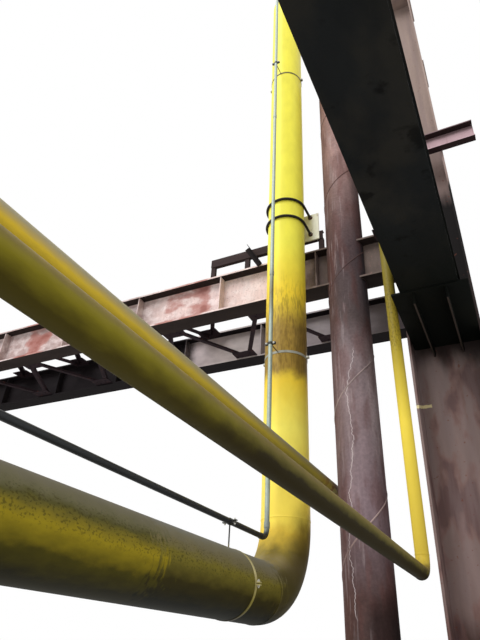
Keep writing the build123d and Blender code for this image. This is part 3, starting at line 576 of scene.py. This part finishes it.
gusset_count, gusset_half, gusset_tail = 10, 0.19, 0.045
gusset_thickness, leg_thickness = 0.008, 0.007
lacing_thread, bolt_places = 0.016, (0.115, 0.19)
bolt_head = [(0, 0, 0), (0.0135, 0, 6), (0.0135, 0.008, 6), (0.011, 0.010, 0), (0, 0.010, 0)]
lacing_bolts = []
for node, up, rear_first in (("bottom_lacing", 1, True), ("top_lacing", -1, False)):
    low, high, _ = place(node)
    turn_x = np.linspace(high[0] - gusset_half, low[0] + gusset_half, gusset_count)
    near_y, far_y = low[1] + gusset_tail, high[1] - gusset_tail
    turn_y = np.where((np.arange(gusset_count) % 2 == 0) == rear_first, far_y, near_y)
    turns = np.stack([turn_x, turn_y], 1)
    gusset_face = low[2] if up > 0 else high[2]
    leg_face = gusset_face + up * (gusset_thickness + leg_thickness)
    for start, end in zip(turns, turns[1:]):
        along = (end - start) / np.linalg.norm(end - start)
        for distance in bolt_places:
            for x, y in (start + along * distance, end - along * distance):
                lacing_bolts.append(stud_with_nut((x, y, leg_face), (0, 0, up), lacing_thread, 12))
                lacing_bolts.append(lathe((x, y, gusset_face), (0, 0, -up), bolt_head, 12))
build_piece("lacing_bolts", lacing_bolts, dusky)


# Box girder. Two flange plates on inset webs, resting on a corbel that is welded to each column. The
# paint is almost black with soot, and a welded seam runs along every corner.

umber = Coat("sooty_brown_paint", 0.65, 0.03)
brown = umber.mottle(tint(30, 32, 33), 0.5, 0.4, (1, 2.5, 1), 3)
brown = umber.blend(brown, tint(46, 44, 40), umber.patches(0.4, 0.45, (1, 1.6, 1), 5, 0.12), 0.6)
brown = umber.blend(brown, tint(12, 12, 12), umber.patches(0.18, 0.2, (1, 1, 1), 4, 0.06, 9), 0.7)
towards_column = umber.ramp(umber.y, -2.6, -1.2)
brown = umber.blend(brown, tint(16, 18, 15), towards_column, 0.8)
brown = umber.blend(brown, tint(84, 74, 68), umber.ramp(umber.facing_z, 0.5, 0.9), 0.8)
# Painted highlight on the corbel's lower faces.
corbel_edge_highlight = umber.times(umber.ramp(umber.z, 4.60, 4.59), umber.ramp(umber.facing_z, -0.5, -0.9))
brown = umber.blend(brown, tint(62, 54, 50), corbel_edge_highlight)
umber.finish(brown, 0.025, 0.0015)
dress(umber, "box_girder", "far_corbel", "near_corbel")

box_low, box_high, _ = place("box_girder")
flange_thickness, web_inset = 0.020, 0.022
box_seam_weld, corbel_root_weld, corbel_cap_weld, cap_weld_length = 0.009, 0.010, 0.008, 1.15
box_welds = []
for side, edge in ((-1, box_low[0]), (1, box_high[0])):
    for z, up in ((box_low[2] + flange_thickness, 1), (box_high[2] - flange_thickness, -1)):
        x = edge - side * web_inset
        start, end = (x, box_low[1] + weld_end_gap, z), (x, box_high[1] - weld_end_gap, z)
        box_welds.append(straight_bead(start, end, (side, 0, up), box_seam_weld))
corbel_cap, corbel_web, corbel_web_offset = 0.020, 0.016, 0.154
for node, outward in (("far_corbel", -1), ("near_corbel", 1)):
    low, high, middle = place(node)
    root_y = high[1] if outward < 0 else low[1]
    cap_low = high[2] - corbel_cap
    left, right = (low[0], root_y, cap_low), (high[0], root_y, cap_low)
    box_welds.append(straight_bead(left, right, (0, outward, -1), corbel_root_weld))
    for side in (-1, 1):
        for face in (-1, 1):
            x = middle[0] + side * corbel_web_offset + face * corbel_web / 2
            foot, corner = (x, root_y, low[2]), (x, root_y, cap_low)
            end = (x, root_y + outward * cap_weld_length, cap_low)
            box_welds.append(straight_bead(foot, corner, (face, outward, 0), corbel_root_weld))
            box_welds.append(straight_bead(corner, end, (face, 0, -1), corbel_cap_weld))
build_piece("box_girder_welds", box_welds, umber)


# Stub beam. A channel in salmon primer, welded with its back across the front of the column above the
# box girder, with short beads where it crosses the column's two flanges.

salmon = Coat("salmon_primer", 0.7, 0.08)
pink = salmon.mottle(tint(182, 154, 160), 0.2, 0.12, (1, 1, 3))
worn = salmon.patches(0.04, 0.25, (1, 1, 5), shift=3)
pink = salmon.blend(pink, tint(140, 104, 106), worn, 0.5)
stub_low, stub_high, _ = place("stub_beam")
shaded_top = salmon.ramp(salmon.wavy(salmon.z, 0.03, 0.1), stub_high[2] - 0.10, stub_high[2] - 0.04)
pink = salmon.blend(pink, tint(86, 66, 68), shaded_top, 0.7)
# Painted shade on the undersides.
pink = salmon.blend(pink, tint(42, 30, 31), salmon.ramp(salmon.facing_z, -0.5, -0.9))
pink = salmon.blend(pink, tint(96, 80, 76), salmon.ramp(salmon.facing_z, 0.5, 0.9))
salmon.finish(pink, 0.02, 0.0015)
dress(salmon, "stub_beam")

column_flange, stub_weld = 0.025, 0.008
stub_welds = []
for left in (column_low[0], column_high[0] - column_flange):
    for z, up in ((stub_low[2], -1), (stub_high[2], 1)):
        start, end = (left, column_low[1], z), (left + column_flange, column_low[1], z)
        stub_welds.append(straight_bead(start, end, (0, -1, up), stub_weld))
build_piece("stub_beam_welds", stub_welds, salmon)


# Near frame. A goalpost of rolled sections under the near ends of the pipes, with a rolled saddle under
# the main pipe and a square stool under the front one.

dress(mauve, "near_frame_posts", "near_frame_bases", "near_frame_beams", "pipe_supports")


# Main pipe. Rolled steel pipe butt-welded to a long elbow and a riser. The yellow paint is clean and
# bright high up, browned above the lower band, and on the run it lies under dust on top, with soot and
# painted shade below. Painted shade also darkens the right side of the bend and of the browned stretch.

def level_on_pipe(coat, run):
    """Height on a level pipe: -1 along its underside, 0 at its middle and 1 along its top."""
    low, high, middle = place(run)
    return coat.times(coat.maths("SUBTRACT", coat.z, middle[2]), 2 / (high[2] - low[2]))


run_low, run_high, run_middle = place("main_pipe_run")
main_radius = (run_high[0] - run_low[0]) / 2
run_height = run_middle[2]

yellow = Coat("main_pipe_yellow", 0.42, 0.1)
level = yellow.wavy(level_on_pipe(yellow, "main_pipe_run"), 0.16, 0.05, (1, 2.5, 1), 5)
# Dark along the underside is painted shade with soot.
near_shade = yellow.shades(
    level, (-0.87, 30, 28, 6), (-0.5, 72, 66, 12), (-0.03, 164, 145, 30), (0.35, 92, 88, 46),
    (0.5, 110, 106, 78), (1.0, 112, 106, 94))
far_shade = yellow.shades(
    level, (-0.85, 16, 18, 6), (-0.4, 56, 50, 16), (0.12, 128, 118, 44), (0.45, 120, 112, 82),
    (1.0, 112, 112, 108))
boundary = yellow.wavy(yellow.y, 0.45, 0.03, (1, 1, 7), 4, 2)
run_shade = yellow.blend(near_shade, far_shade, yellow.ramp(boundary, -3.02, -2.86))
height = yellow.wavy(yellow.z, 0.10, 0.09, (1, 1, 1.5), 5, 5)
# Near-black at the bottom of the bend is painted shade with soot.
bend_shade = yellow.shades(
    height, (1.86, 20, 20, 6), (2.1, 108, 103, 34), (2.3, 140, 127, 88), (2.43, 132, 116, 54),
    (2.62, 208, 176, 62), (2.8, 248, 224, 92))
riser_shade = yellow.shades(
    height, (2.7, 240, 212, 84), (3.7, 248, 233, 104), (4.25, 236, 203, 64), (5.5, 246, 213, 58),
    (6.3, 248, 238, 84))
browned = yellow.between(height, 4.25, 4.45, 4.9, 5.5)
brown_patches = yellow.mottle(tint(160, 130, 58), 0.4, 0.03, (1, 1, 2), shift=8)
riser_shade = yellow.blend(riser_shade, brown_patches, browned)
dirt_runs = yellow.times(
    yellow.patches(0.02, 0.42, (1, 1, 6), 5, 0.08, 19), yellow.between(height, 4.3, 4.5, 5.2, 5.9))
riser_shade = yellow.blend(riser_shade, tint(108, 82, 38), dirt_runs, 0.45)
# Painted shade on the riser's right side where it is browned.
on_right = yellow.ramp(yellow.facing_x, 0.5, 0.95)
riser_shade = yellow.blend(riser_shade, tint(84, 66, 34), on_right, browned, 0.5)
riser_shade = yellow.blend(bend_shade, riser_shade, yellow.ramp(yellow.z, 2.7, 2.82))
# Painted shade along the right side of the bend and the foot of the riser.
right_edge_shade = yellow.times(yellow.ramp(yellow.facing_x, 0.45, 0.95), yellow.ramp(height, 2.95, 2.6))
riser_shade = yellow.blend(riser_shade, tint(62, 52, 22), right_edge_shade, 0.75)
speckles = yellow.times(
    yellow.patches(0.012, 0.34, (1, 1.5, 1), 3, 0.05, 15), yellow.between(level, -0.25, 0.1, 0.3, 0.7))
run_shade = yellow.blend(run_shade, tint(58, 52, 24), speckles, 0.55)
full = yellow.blend(run_shade, riser_shade, yellow.ramp(boundary, -1.25, -1.0))
full = yellow.mottle(full, 0.12, 0.12, (1, 1, 2), shift=9)
yellow.gloss(yellow.ramp(yellow.z, 2.5, 2.9), 0.62, 0.36)
yellow.finish(full, 0.012, 0.0006)


def pipe_route(run, elbow, riser):
    """Stations of the run, elbow and riser as (y, z, slope), worked out from the three nodes' boxes. The
    elbow's are y = corner + bend sin(slope) and z = level + bend (1 - cos(slope))."""
    straight_count, bend_count = 9, 25
    run_start, run_end, run_axis = place(run)
    elbow_low, _, _ = place(elbow)
    riser_low, riser_high, riser_axis = place(riser)
    corner, y, z = elbow_low[1], riser_axis[1], run_axis[2]
    bend, slope = y - corner, np.linspace(0, np.pi / 2, bend_count)
    flat = np.linspace((run_start[1], z, 0), (run_end[1], z, 0), straight_count)
    curved = np.stack([corner + bend * np.sin(slope), z + bend * (1 - np.cos(slope)), slope], 1)
    standing = np.linspace((y, riser_low[2], np.pi / 2), (y, riser_high[2], np.pi / 2), straight_count)
    return flat, curved, standing


def with_weld(stations, at_start, at_end, proud):
    """Adds close stations by the welded ends, where the radius swells by the weld's height."""
    swell = np.array([1, 0.9, 0.55, 0.15, 0])
    distances = np.array([0, 0.003, 0.006, 0.009, 0.012])
    along = np.concatenate([[0], np.cumsum(np.hypot(*np.diff(stations[:, :2], axis=0).T))])
    places, heights = along, np.zeros(len(along))
    if at_start:
        places = np.concatenate([distances, places[1:]])
        heights = np.concatenate([proud * swell, heights[1:]])
    if at_end:
        places = np.concatenate([places[:-1], along[-1] - distances[::-1]])
        heights = np.concatenate([heights[:-1], proud * swell[::-1]])
    fine = np.stack([np.interp(places, along, stations[:, i]) for i in range(3)], 1)
    return fine, heights


def pipe(name, coat, slots, wall, weld, columns):
    """Run, elbow and riser of one pipe, each standing for its own CAD node."""
    nodes = [name + "_run", name + "_elbow", name + "_riser"]
    low, high, axis = place(nodes[0])
    radius = (high[0] - low[0]) / 2
    welded = [(False, True), (True, True), (True, False)]
    for node, stations, ends, slot in zip(nodes, pipe_route(*nodes), welded, slots):
        fine, proud = with_weld(stations, *ends, weld)
        centres = np.stack([np.full(len(fine), axis[0]), fine[:, 0], fine[:, 1]], 1)
        across = np.tile([1.0, 0, 0], (len(fine), 1))
        up = np.stack([np.zeros(len(fine)), -np.sin(fine[:, 2]), np.cos(fine[:, 2])], 1)
        wall_grid = hollow(centres, across, up, radius + proud, radius - wall, columns)
        build_piece(node + "_pipe", [wall_grid], coat, [node])


main_slots = ["olive_yellow_paint", "olive_yellow_paint", "lemon_yellow_paint"]
pipe("main_pipe", yellow, main_slots, wall=0.010, weld=0.0030, columns=96)


# Small pipes. The front one carries a roof of grey-brown dust over olive paint, with soot and painted
# shade underneath, and turns up clean and bright, with a soiled stretch by the corbel that painted shade
# darkens too. The rear one is golden, with pale dust on top.

_, _, front_middle = place("front_pipe_run")
olive = Coat("front_pipe_yellow", 0.5, 0.08)
front_level = olive.wavy(level_on_pipe(olive, "front_pipe_run"), 0.25, 0.03, (1, 3, 1), 5)
# Darker towards the underside with painted shade and soot.
front_near = olive.shades(
    front_level, (-0.85, 68, 60, 14), (-0.2, 126, 116, 27), (0.05, 136, 125, 42), (0.3, 128, 115, 66),
    (0.7, 136, 122, 88))
front_far = olive.shades(
    front_level, (-0.5, 42, 35, 9), (-0.15, 88, 80, 28), (0.15, 108, 96, 46), (0.7, 98, 86, 64))
front_along = olive.wavy(olive.y, 0.5, 0.15)
front_run = olive.blend(front_near, front_far, olive.ramp(front_along, -5.0, -4.0))
blotches = olive.times(
    olive.patches(0.05, 0.5, detail=5), olive.ramp(olive.y, -1.5, -1.0))
front_run = olive.blend(front_run, tint(36, 28, 18), blotches, 0.7)
front_height = olive.wavy(olive.z, 0.1, 0.06, (1, 1, 2), 5, 3)
# Darker from 4.5 to 5.5 m with painted shade under the box girder; grime patches darken it further.
front_clean = olive.shades(
    front_height, (2.22, 130, 114, 46), (2.34, 196, 170, 62), (3.5, 232, 207, 76), (4.5, 146, 128, 42),
    (5.5, 122, 110, 44), (9.0, 176, 154, 50))
soiled = olive.between(front_height, 4.2, 4.4, 4.9, 5.4)
grime = olive.patches(0.012, 0.4, (1, 1, 2.5), 2, 0.1, 4)
front_clean = olive.blend(front_clean, tint(58, 50, 30), soiled, grime, 0.45)
front_rise = olive.ramp(olive.z, front_middle[2] - 0.01, front_middle[2] + 0.10)
olive.gloss(front_rise, 0.65, 0.38)
olive.finish(olive.blend(front_run, front_clean, front_rise), 0.01, 0.0005)

_, _, rear_middle = place("rear_pipe_run")
golden = Coat("rear_pipe_yellow", 0.5, 0.08)
rear_level = golden.wavy(level_on_pipe(golden, "rear_pipe_run"), 0.2, 0.04, (1, 3, 1), 5)
rear_near = golden.shades(
    rear_level, (-0.95, 190, 162, 50), (-0.5, 230, 196, 58), (-0.2, 206, 180, 100), (0.3, 182, 172, 140))
rear_far = golden.shades(
    rear_level, (-0.9, 124, 112, 48), (-0.5, 152, 138, 50), (0.0, 146, 134, 82), (0.5, 132, 128, 108))
rear_run = golden.blend(rear_near, rear_far, golden.line(golden.y, -4.6, -1.0))
stained = golden.times(golden.patches(0.08, 0.6, shift=2), golden.ramp(golden.y, -0.6, -0.1))
rear_run = golden.blend(rear_run, tint(116, 72, 32), stained, 0.8)
rear_rise = golden.ramp(golden.z, rear_middle[2] + 0.02, rear_middle[2] + 0.2)
rear_clean = golden.mottle(tint(212, 184, 60), 0.15, 0.1, (1, 1, 4))
golden.finish(golden.blend(rear_run, rear_clean, rear_rise), 0.01, 0.0005)

front_slots = ["front_pipe_paint", "front_pipe_paint", "riser_yellow_paint"]
pipe("front_pipe", olive, front_slots, wall=0.0045, weld=0.0018, columns=48)
pipe("rear_pipe", golden, ["rear_pipe_paint"] * 3, wall=0.005, weld=0.0018, columns=48)


# Cable conduit. Galvanised steel tube with a threaded sleeve at each joint. It is grey with dirt over
# the run and bright where it climbs in front of the riser.

conduit_low, conduit_high, conduit_middle = place("conduit_run")
zinc = Coat("galvanised_conduit", 0.5, 0.3, 0.3)
spangle = zinc.shades(
    zinc.wavy(zinc.z, 0.2, 0.06, (1, 1, 2), 5), (2.5, 110, 116, 112), (2.9, 165, 178, 168),
    (4.9, 160, 172, 160), (5.35, 119, 113, 85), (5.8, 165, 177, 168))
spangle = zinc.mottle(spangle, 0.25, 0.03)
dirt = zinc.mottle(tint(48, 51, 53), 0.35, 0.1, (1, 3, 1))
rise = zinc.ramp(zinc.z, conduit_middle[2] + 0.02, conduit_middle[2] + 0.12)
zinc.finish(zinc.blend(dirt, spangle, rise), 0.006, 0.0003)
pipe("conduit", zinc, ["galvanised_conduit"] * 3, wall=0.0032, weld=0.0, columns=32)


def sleeve(middle, axis, inner, outer, length):
    """Short round collar: a closed ring of wall with eased edges."""
    half, ease = length / 2, 0.002
    rows = [
        (inner, -half, 0), (outer - ease, -half, 0), (outer, ease - half, 0), (outer, half - ease, 0),
        (outer - ease, half, 0), (inner, half, 0),
    ]
    return lathe(middle, axis, rows, 32)[0], True


conduit_radius = (conduit_high[0] - conduit_low[0]) / 2
sleeve_inside, sleeve_outside, sleeve_length = conduit_radius - 0.001, conduit_radius + 0.004, 0.06
conduit_riser_low, _, conduit_riser_middle = place("conduit_riser")
joints = [((conduit_middle[0], conduit_high[1] - 0.03, conduit_middle[2]), (0, 1, 0))]
for climbed in (0.03, 3.0, 6.0):
    joints.append(((conduit_middle[0], conduit_riser_middle[1], conduit_riser_low[2] + climbed), (0, 0, 1)))
sleeves = [
    sleeve(middle, axis, sleeve_inside, sleeve_outside, sleeve_length) for middle, axis in joints]
build_piece("conduit_sleeves", sleeves, zinc)


# Band clamps. Flat steel bands round the main pipe, drawn up by a bolt through the ears on each side. A
# rod stands out from each to a small band round the conduit, which is bolted in the same way.

_, _, riser_middle = place("main_pipe_riser")
# Painted highlight across the middle of the run's bands, with painted shade below it.
run_band_coat = Coat("run_band_paint", 0.5, 0.25)
band_highlight_and_shade = run_band_coat.shades(
    run_band_coat.z, (run_height - 0.25, 52, 46, 24), (run_height - 0.12, 150, 138, 62),
    (run_height + 0.08, 214, 202, 148), (run_height + 0.25, 132, 122, 84))
band_highlight_and_shade = run_band_coat.mottle(band_highlight_and_shade, 0.25, 0.03)
run_top = run_height + main_radius
off_run = run_band_coat.ramp(run_band_coat.z, run_top + 0.02, run_top + 0.05)
run_band_coat.colour(run_band_coat.blend(band_highlight_and_shade, tint(58, 58, 54), off_run))
green_paint = Coat("riser_band_paint", 0.5, 0.25)
green_band = green_paint.shades(green_paint.z, (4.5, 158, 158, 146), (5.5, 96, 92, 58))
green_band = green_paint.mottle(green_band, 0.4, 0.04)
off_riser = green_paint.ramp(
    green_paint.y, riser_middle[1] - main_radius - 0.02, riser_middle[1] - main_radius - 0.05)
green_paint.colour(green_paint.blend(green_band, tint(52, 52, 48), off_riser))
dress(run_band_coat, "run_band_clamps")
dress(green_paint, "riser_band_clamps")

bright_steel = Coat("plated_bolts", 0.35, 0.4, 0.2)
plating = bright_steel.blend(tint(226, 226, 220), tint(176, 172, 160), bright_steel.patches(0.01, 0.5))
bright_steel.colour(plating)
band_gap, band_thickness, half_band = 0.0003, 0.004, 0.015
half_ear, ear_face = 0.018, 0.013
main_bolt, conduit_bolt = 0.012, 0.010
band_low, band_high, _ = place("run_band_clamps")
hoop_low, hoop_high, _ = place("riser_band_clamps")
bands = []
for y in (band_low[1] + half_band, band_high[1] - half_band):
    bands.append((run_middle[0], y, run_height, main_radius, main_bolt, (0, 0, 1)))
    bands.append((conduit_middle[0], y, conduit_middle[2], conduit_radius, conduit_bolt, (0, 0, 1)))
for z in (hoop_low[2] + half_band, hoop_high[2] - half_band):
    bands.append((*riser_middle[:2], z, main_radius, main_bolt, (0, 1, 0)))
    bands.append((*conduit_riser_middle[:2], z, conduit_radius, conduit_bolt, (0, 1, 0)))
band_bolts = []
for x, y, z, radius, size, axis in bands:
    reach = radius + band_gap + band_thickness + half_ear
    for side in (-1, 1):
        for face in (-1, 1):
            turned = face * np.array(axis)
            foot = np.array([x + side * reach, y, z]) + turned * ear_face
            band_bolts.append(stud_with_nut(foot, turned, size, 12))
build_piece("band_bolts", band_bolts, bright_steel)


# Riser anchor. Two U-bolts of round bar hold the riser to a cream back plate, which stands against a
# channel rail on short posts along the front girder. Nuts lock each leg on both sides of the plate.

cream_paint = Coat("cream_anchor_paint", 0.7, 0.2)
# Painted shadow on the plate close beside the riser.
beside_riser = cream_paint.maths(
    "ABSOLUTE", cream_paint.maths("SUBTRACT", cream_paint.x, riser_middle[0]))
cream = cream_paint.shades(beside_riser, (0.22, 223, 217, 183), (0.34, 250, 249, 230), (0.4, 246, 244, 226))
cream = cream_paint.mottle(cream, 0.12, 0.06)
cream = cream_paint.blend(
    cream, tint(150, 122, 92), cream_paint.patches(0.05, 0.15, (1, 1, 3), shift=4), 0.6)
cream_paint.finish(cream, 0.02, 0.001)
dress(cream_paint, "riser_back_plate")

plate_low, plate_high, _ = place("riser_back_plate")
rail_paint = Coat("rail_primer", 0.75, 0.05)
rail_shade = rail_paint.mottle(tint(60, 50, 50), 0.4, 0.1, (3, 1, 1))
brace_front = rail_paint.ramp(rail_paint.y, plate_high[1] - 0.001, plate_high[1] - 0.003)
rail_shade = rail_paint.blend(rail_shade, rail_paint.mottle(tint(34, 30, 30), 0.4, 0.06), brace_front)
rail_shade = rail_paint.blend(
    rail_shade, tint(158, 146, 136), rail_paint.ramp(rail_paint.facing_z, 0.3, 0.6))
rail_paint.finish(rail_shade, 0.02, 0.0015)
dress(rail_paint, "anchor_rail")

black_bar = Coat("black_bar_steel", 0.5, 0.12)
bar_shade = black_bar.mottle(tint(46, 42, 40), 0.4, 0.04)
# Painted highlight along the upper side of the bars.
bar_top_highlight = black_bar.ramp(black_bar.facing_z, 0.2, 0.8)
black_bar.finish(black_bar.blend(bar_shade, tint(120, 112, 100), bar_top_highlight), 0.006, 0.0004)

u_low, u_high, u_middle = place("riser_u_bolts")
bar_radius, rail_web = 0.018, 0.007
bow_radius = (u_high[0] - u_low[0]) / 2 - bar_radius
washer_radius, washer_height, nut_radius, nut_height = 0.034, 0.005, 0.0275, 0.034
washer_and_nut = [
    (0, 0, 0), (washer_radius, 0, 0), (washer_radius, washer_height, 0), (nut_radius, washer_height, 6),
    (nut_radius, nut_height - 0.003, 6), (0.024, nut_height, 0), (0, nut_height, 0)]
riser_y = riser_middle[1]
turn = np.linspace(np.pi, 2 * np.pi, 33)
bow = np.stack([bow_radius * np.cos(turn), bow_radius * np.sin(turn)], 1)
leg = (u_high[1] - riser_y) * np.array([1, 0.999, 0.99, 0.4])
down = np.stack([np.full(len(leg), -bow_radius), leg], 1)
flat = np.concatenate([down, bow, down[::-1] * np.array([-1, 1])])
along = np.gradient(flat, axis=0)
along /= np.linalg.norm(along, axis=1)[:, None]
across = np.stack([-along[:, 1], along[:, 0], np.zeros(len(flat))], 1)
upright = np.tile([0, 0, 1.0], (len(flat), 1))
radii = np.full(len(flat), bar_radius)
radii[[1, -2]] = 0.85 * bar_radius
radii[[0, -1]] = 0
u_bolts, leg_nuts = [], []
rail_back = plate_high[1] + rail_web
for z, behind in ((u_low[2] + bar_radius, rail_back), (u_high[2] - bar_radius, plate_high[1])):
    centres = np.stack([u_middle[0] + flat[:, 0], riser_y + flat[:, 1], np.full(len(flat), z)], 1)
    u_bolts.append((rings(centres, across, upright, radii, 16), False))
    for side in (-1, 1):
        x = u_middle[0] + side * bow_radius
        for y, face in ((behind, 1), (plate_low[1], -1)):
            leg_nuts.append(lathe((x, y, z), (0, face, 0), washer_and_nut))
build_piece("riser_u_bolt_bars", u_bolts, black_bar, ["riser_u_bolts"])
build_piece("u_bolt_nuts", leg_nuts, worn_steel)


# Stage: a pale floor, a white surround, soft studio light from high on the left behind the camera, and
# the camera at the photograph's place, looking up along the pipes.

floor_mesh = bpy.data.meshes.new("floor")
reach = 60.0
floor_mesh.from_pydata(
    [(-reach, -reach, 0), (reach, -reach, 0), (reach, reach, 0), (-reach, reach, 0)], [], [(0, 1, 2, 3)])
floor = bpy.data.objects.new("floor", floor_mesh)
bpy.context.scene.collection.objects.link(floor)
pale = Coat("pale_floor", 0.9, 0.1)
pale.colour(tint(214, 213, 210))
floor_mesh.materials.append(pale.material)

world = bpy.data.worlds.new("studio")
bpy.context.scene.world = world
world.use_nodes = True
sky = world.node_tree
sky.nodes.clear()
rays = sky.nodes.new("ShaderNodeLightPath")
seen = rays.outputs["Is Camera Ray"]
for kind in ("Is Glossy Ray", "Is Transmission Ray"):
    either = sky.nodes.new("ShaderNodeMath")
    either.operation = "MAXIMUM"
    sky.links.new(seen, either.inputs[0])
    sky.links.new(rays.outputs[kind], either.inputs[1])
    seen = either.outputs[0]
strength = sky.nodes.new("ShaderNodeMapRange")
sky.links.new(seen, strength.inputs["Value"])
strength.inputs["To Min"].default_value = 0.8
strength.inputs["To Max"].default_value = 1.0
air = sky.nodes.new("ShaderNodeBackground")
air.inputs["Color"].default_value = (1, 1, 1, 1)
sky.links.new(strength.outputs["Result"], air.inputs["Strength"])
sky.links.new(air.outputs[0], sky.nodes.new("ShaderNodeOutputWorld").inputs["Surface"])

sun_data = bpy.data.lights.new("soft_key", "SUN")
sun_data.energy = 2.2
sun_data.angle = math.radians(40)
sun = bpy.data.objects.new("soft_key", sun_data)
bpy.context.scene.collection.objects.link(sun)
sun_x, sun_y, sun_z = -5.0, -12.0, 12.0
sun.rotation_euler = (math.atan2(math.hypot(sun_x, sun_y), sun_z), 0, math.atan2(sun_x, -sun_y))

sensor_height, focal_pixels, picture_pixels = 24.0, 537.2, 640
camera_data = bpy.data.cameras.new("camera")
camera_data.sensor_fit = "VERTICAL"
camera_data.sensor_height = sensor_height
camera_data.lens = sensor_height * focal_pixels / picture_pixels
camera_data.clip_end = 200.0
camera = bpy.data.objects.new("camera", camera_data)
bpy.context.scene.collection.objects.link(camera)
right = (0.8951, 0.4434, 0.0473)
upwards = (0.1995, -0.4929, 0.8469)
backwards = (0.3988, -0.7486, -0.5296)
eye = (1.483, -5.771, 1.600)
camera.matrix_world = Matrix((*zip(right, upwards, backwards, eye), (0, 0, 0, 1)))
bpy.context.scene.camera = camera
bpy.context.scene.view_settings.view_transform = "Standard"
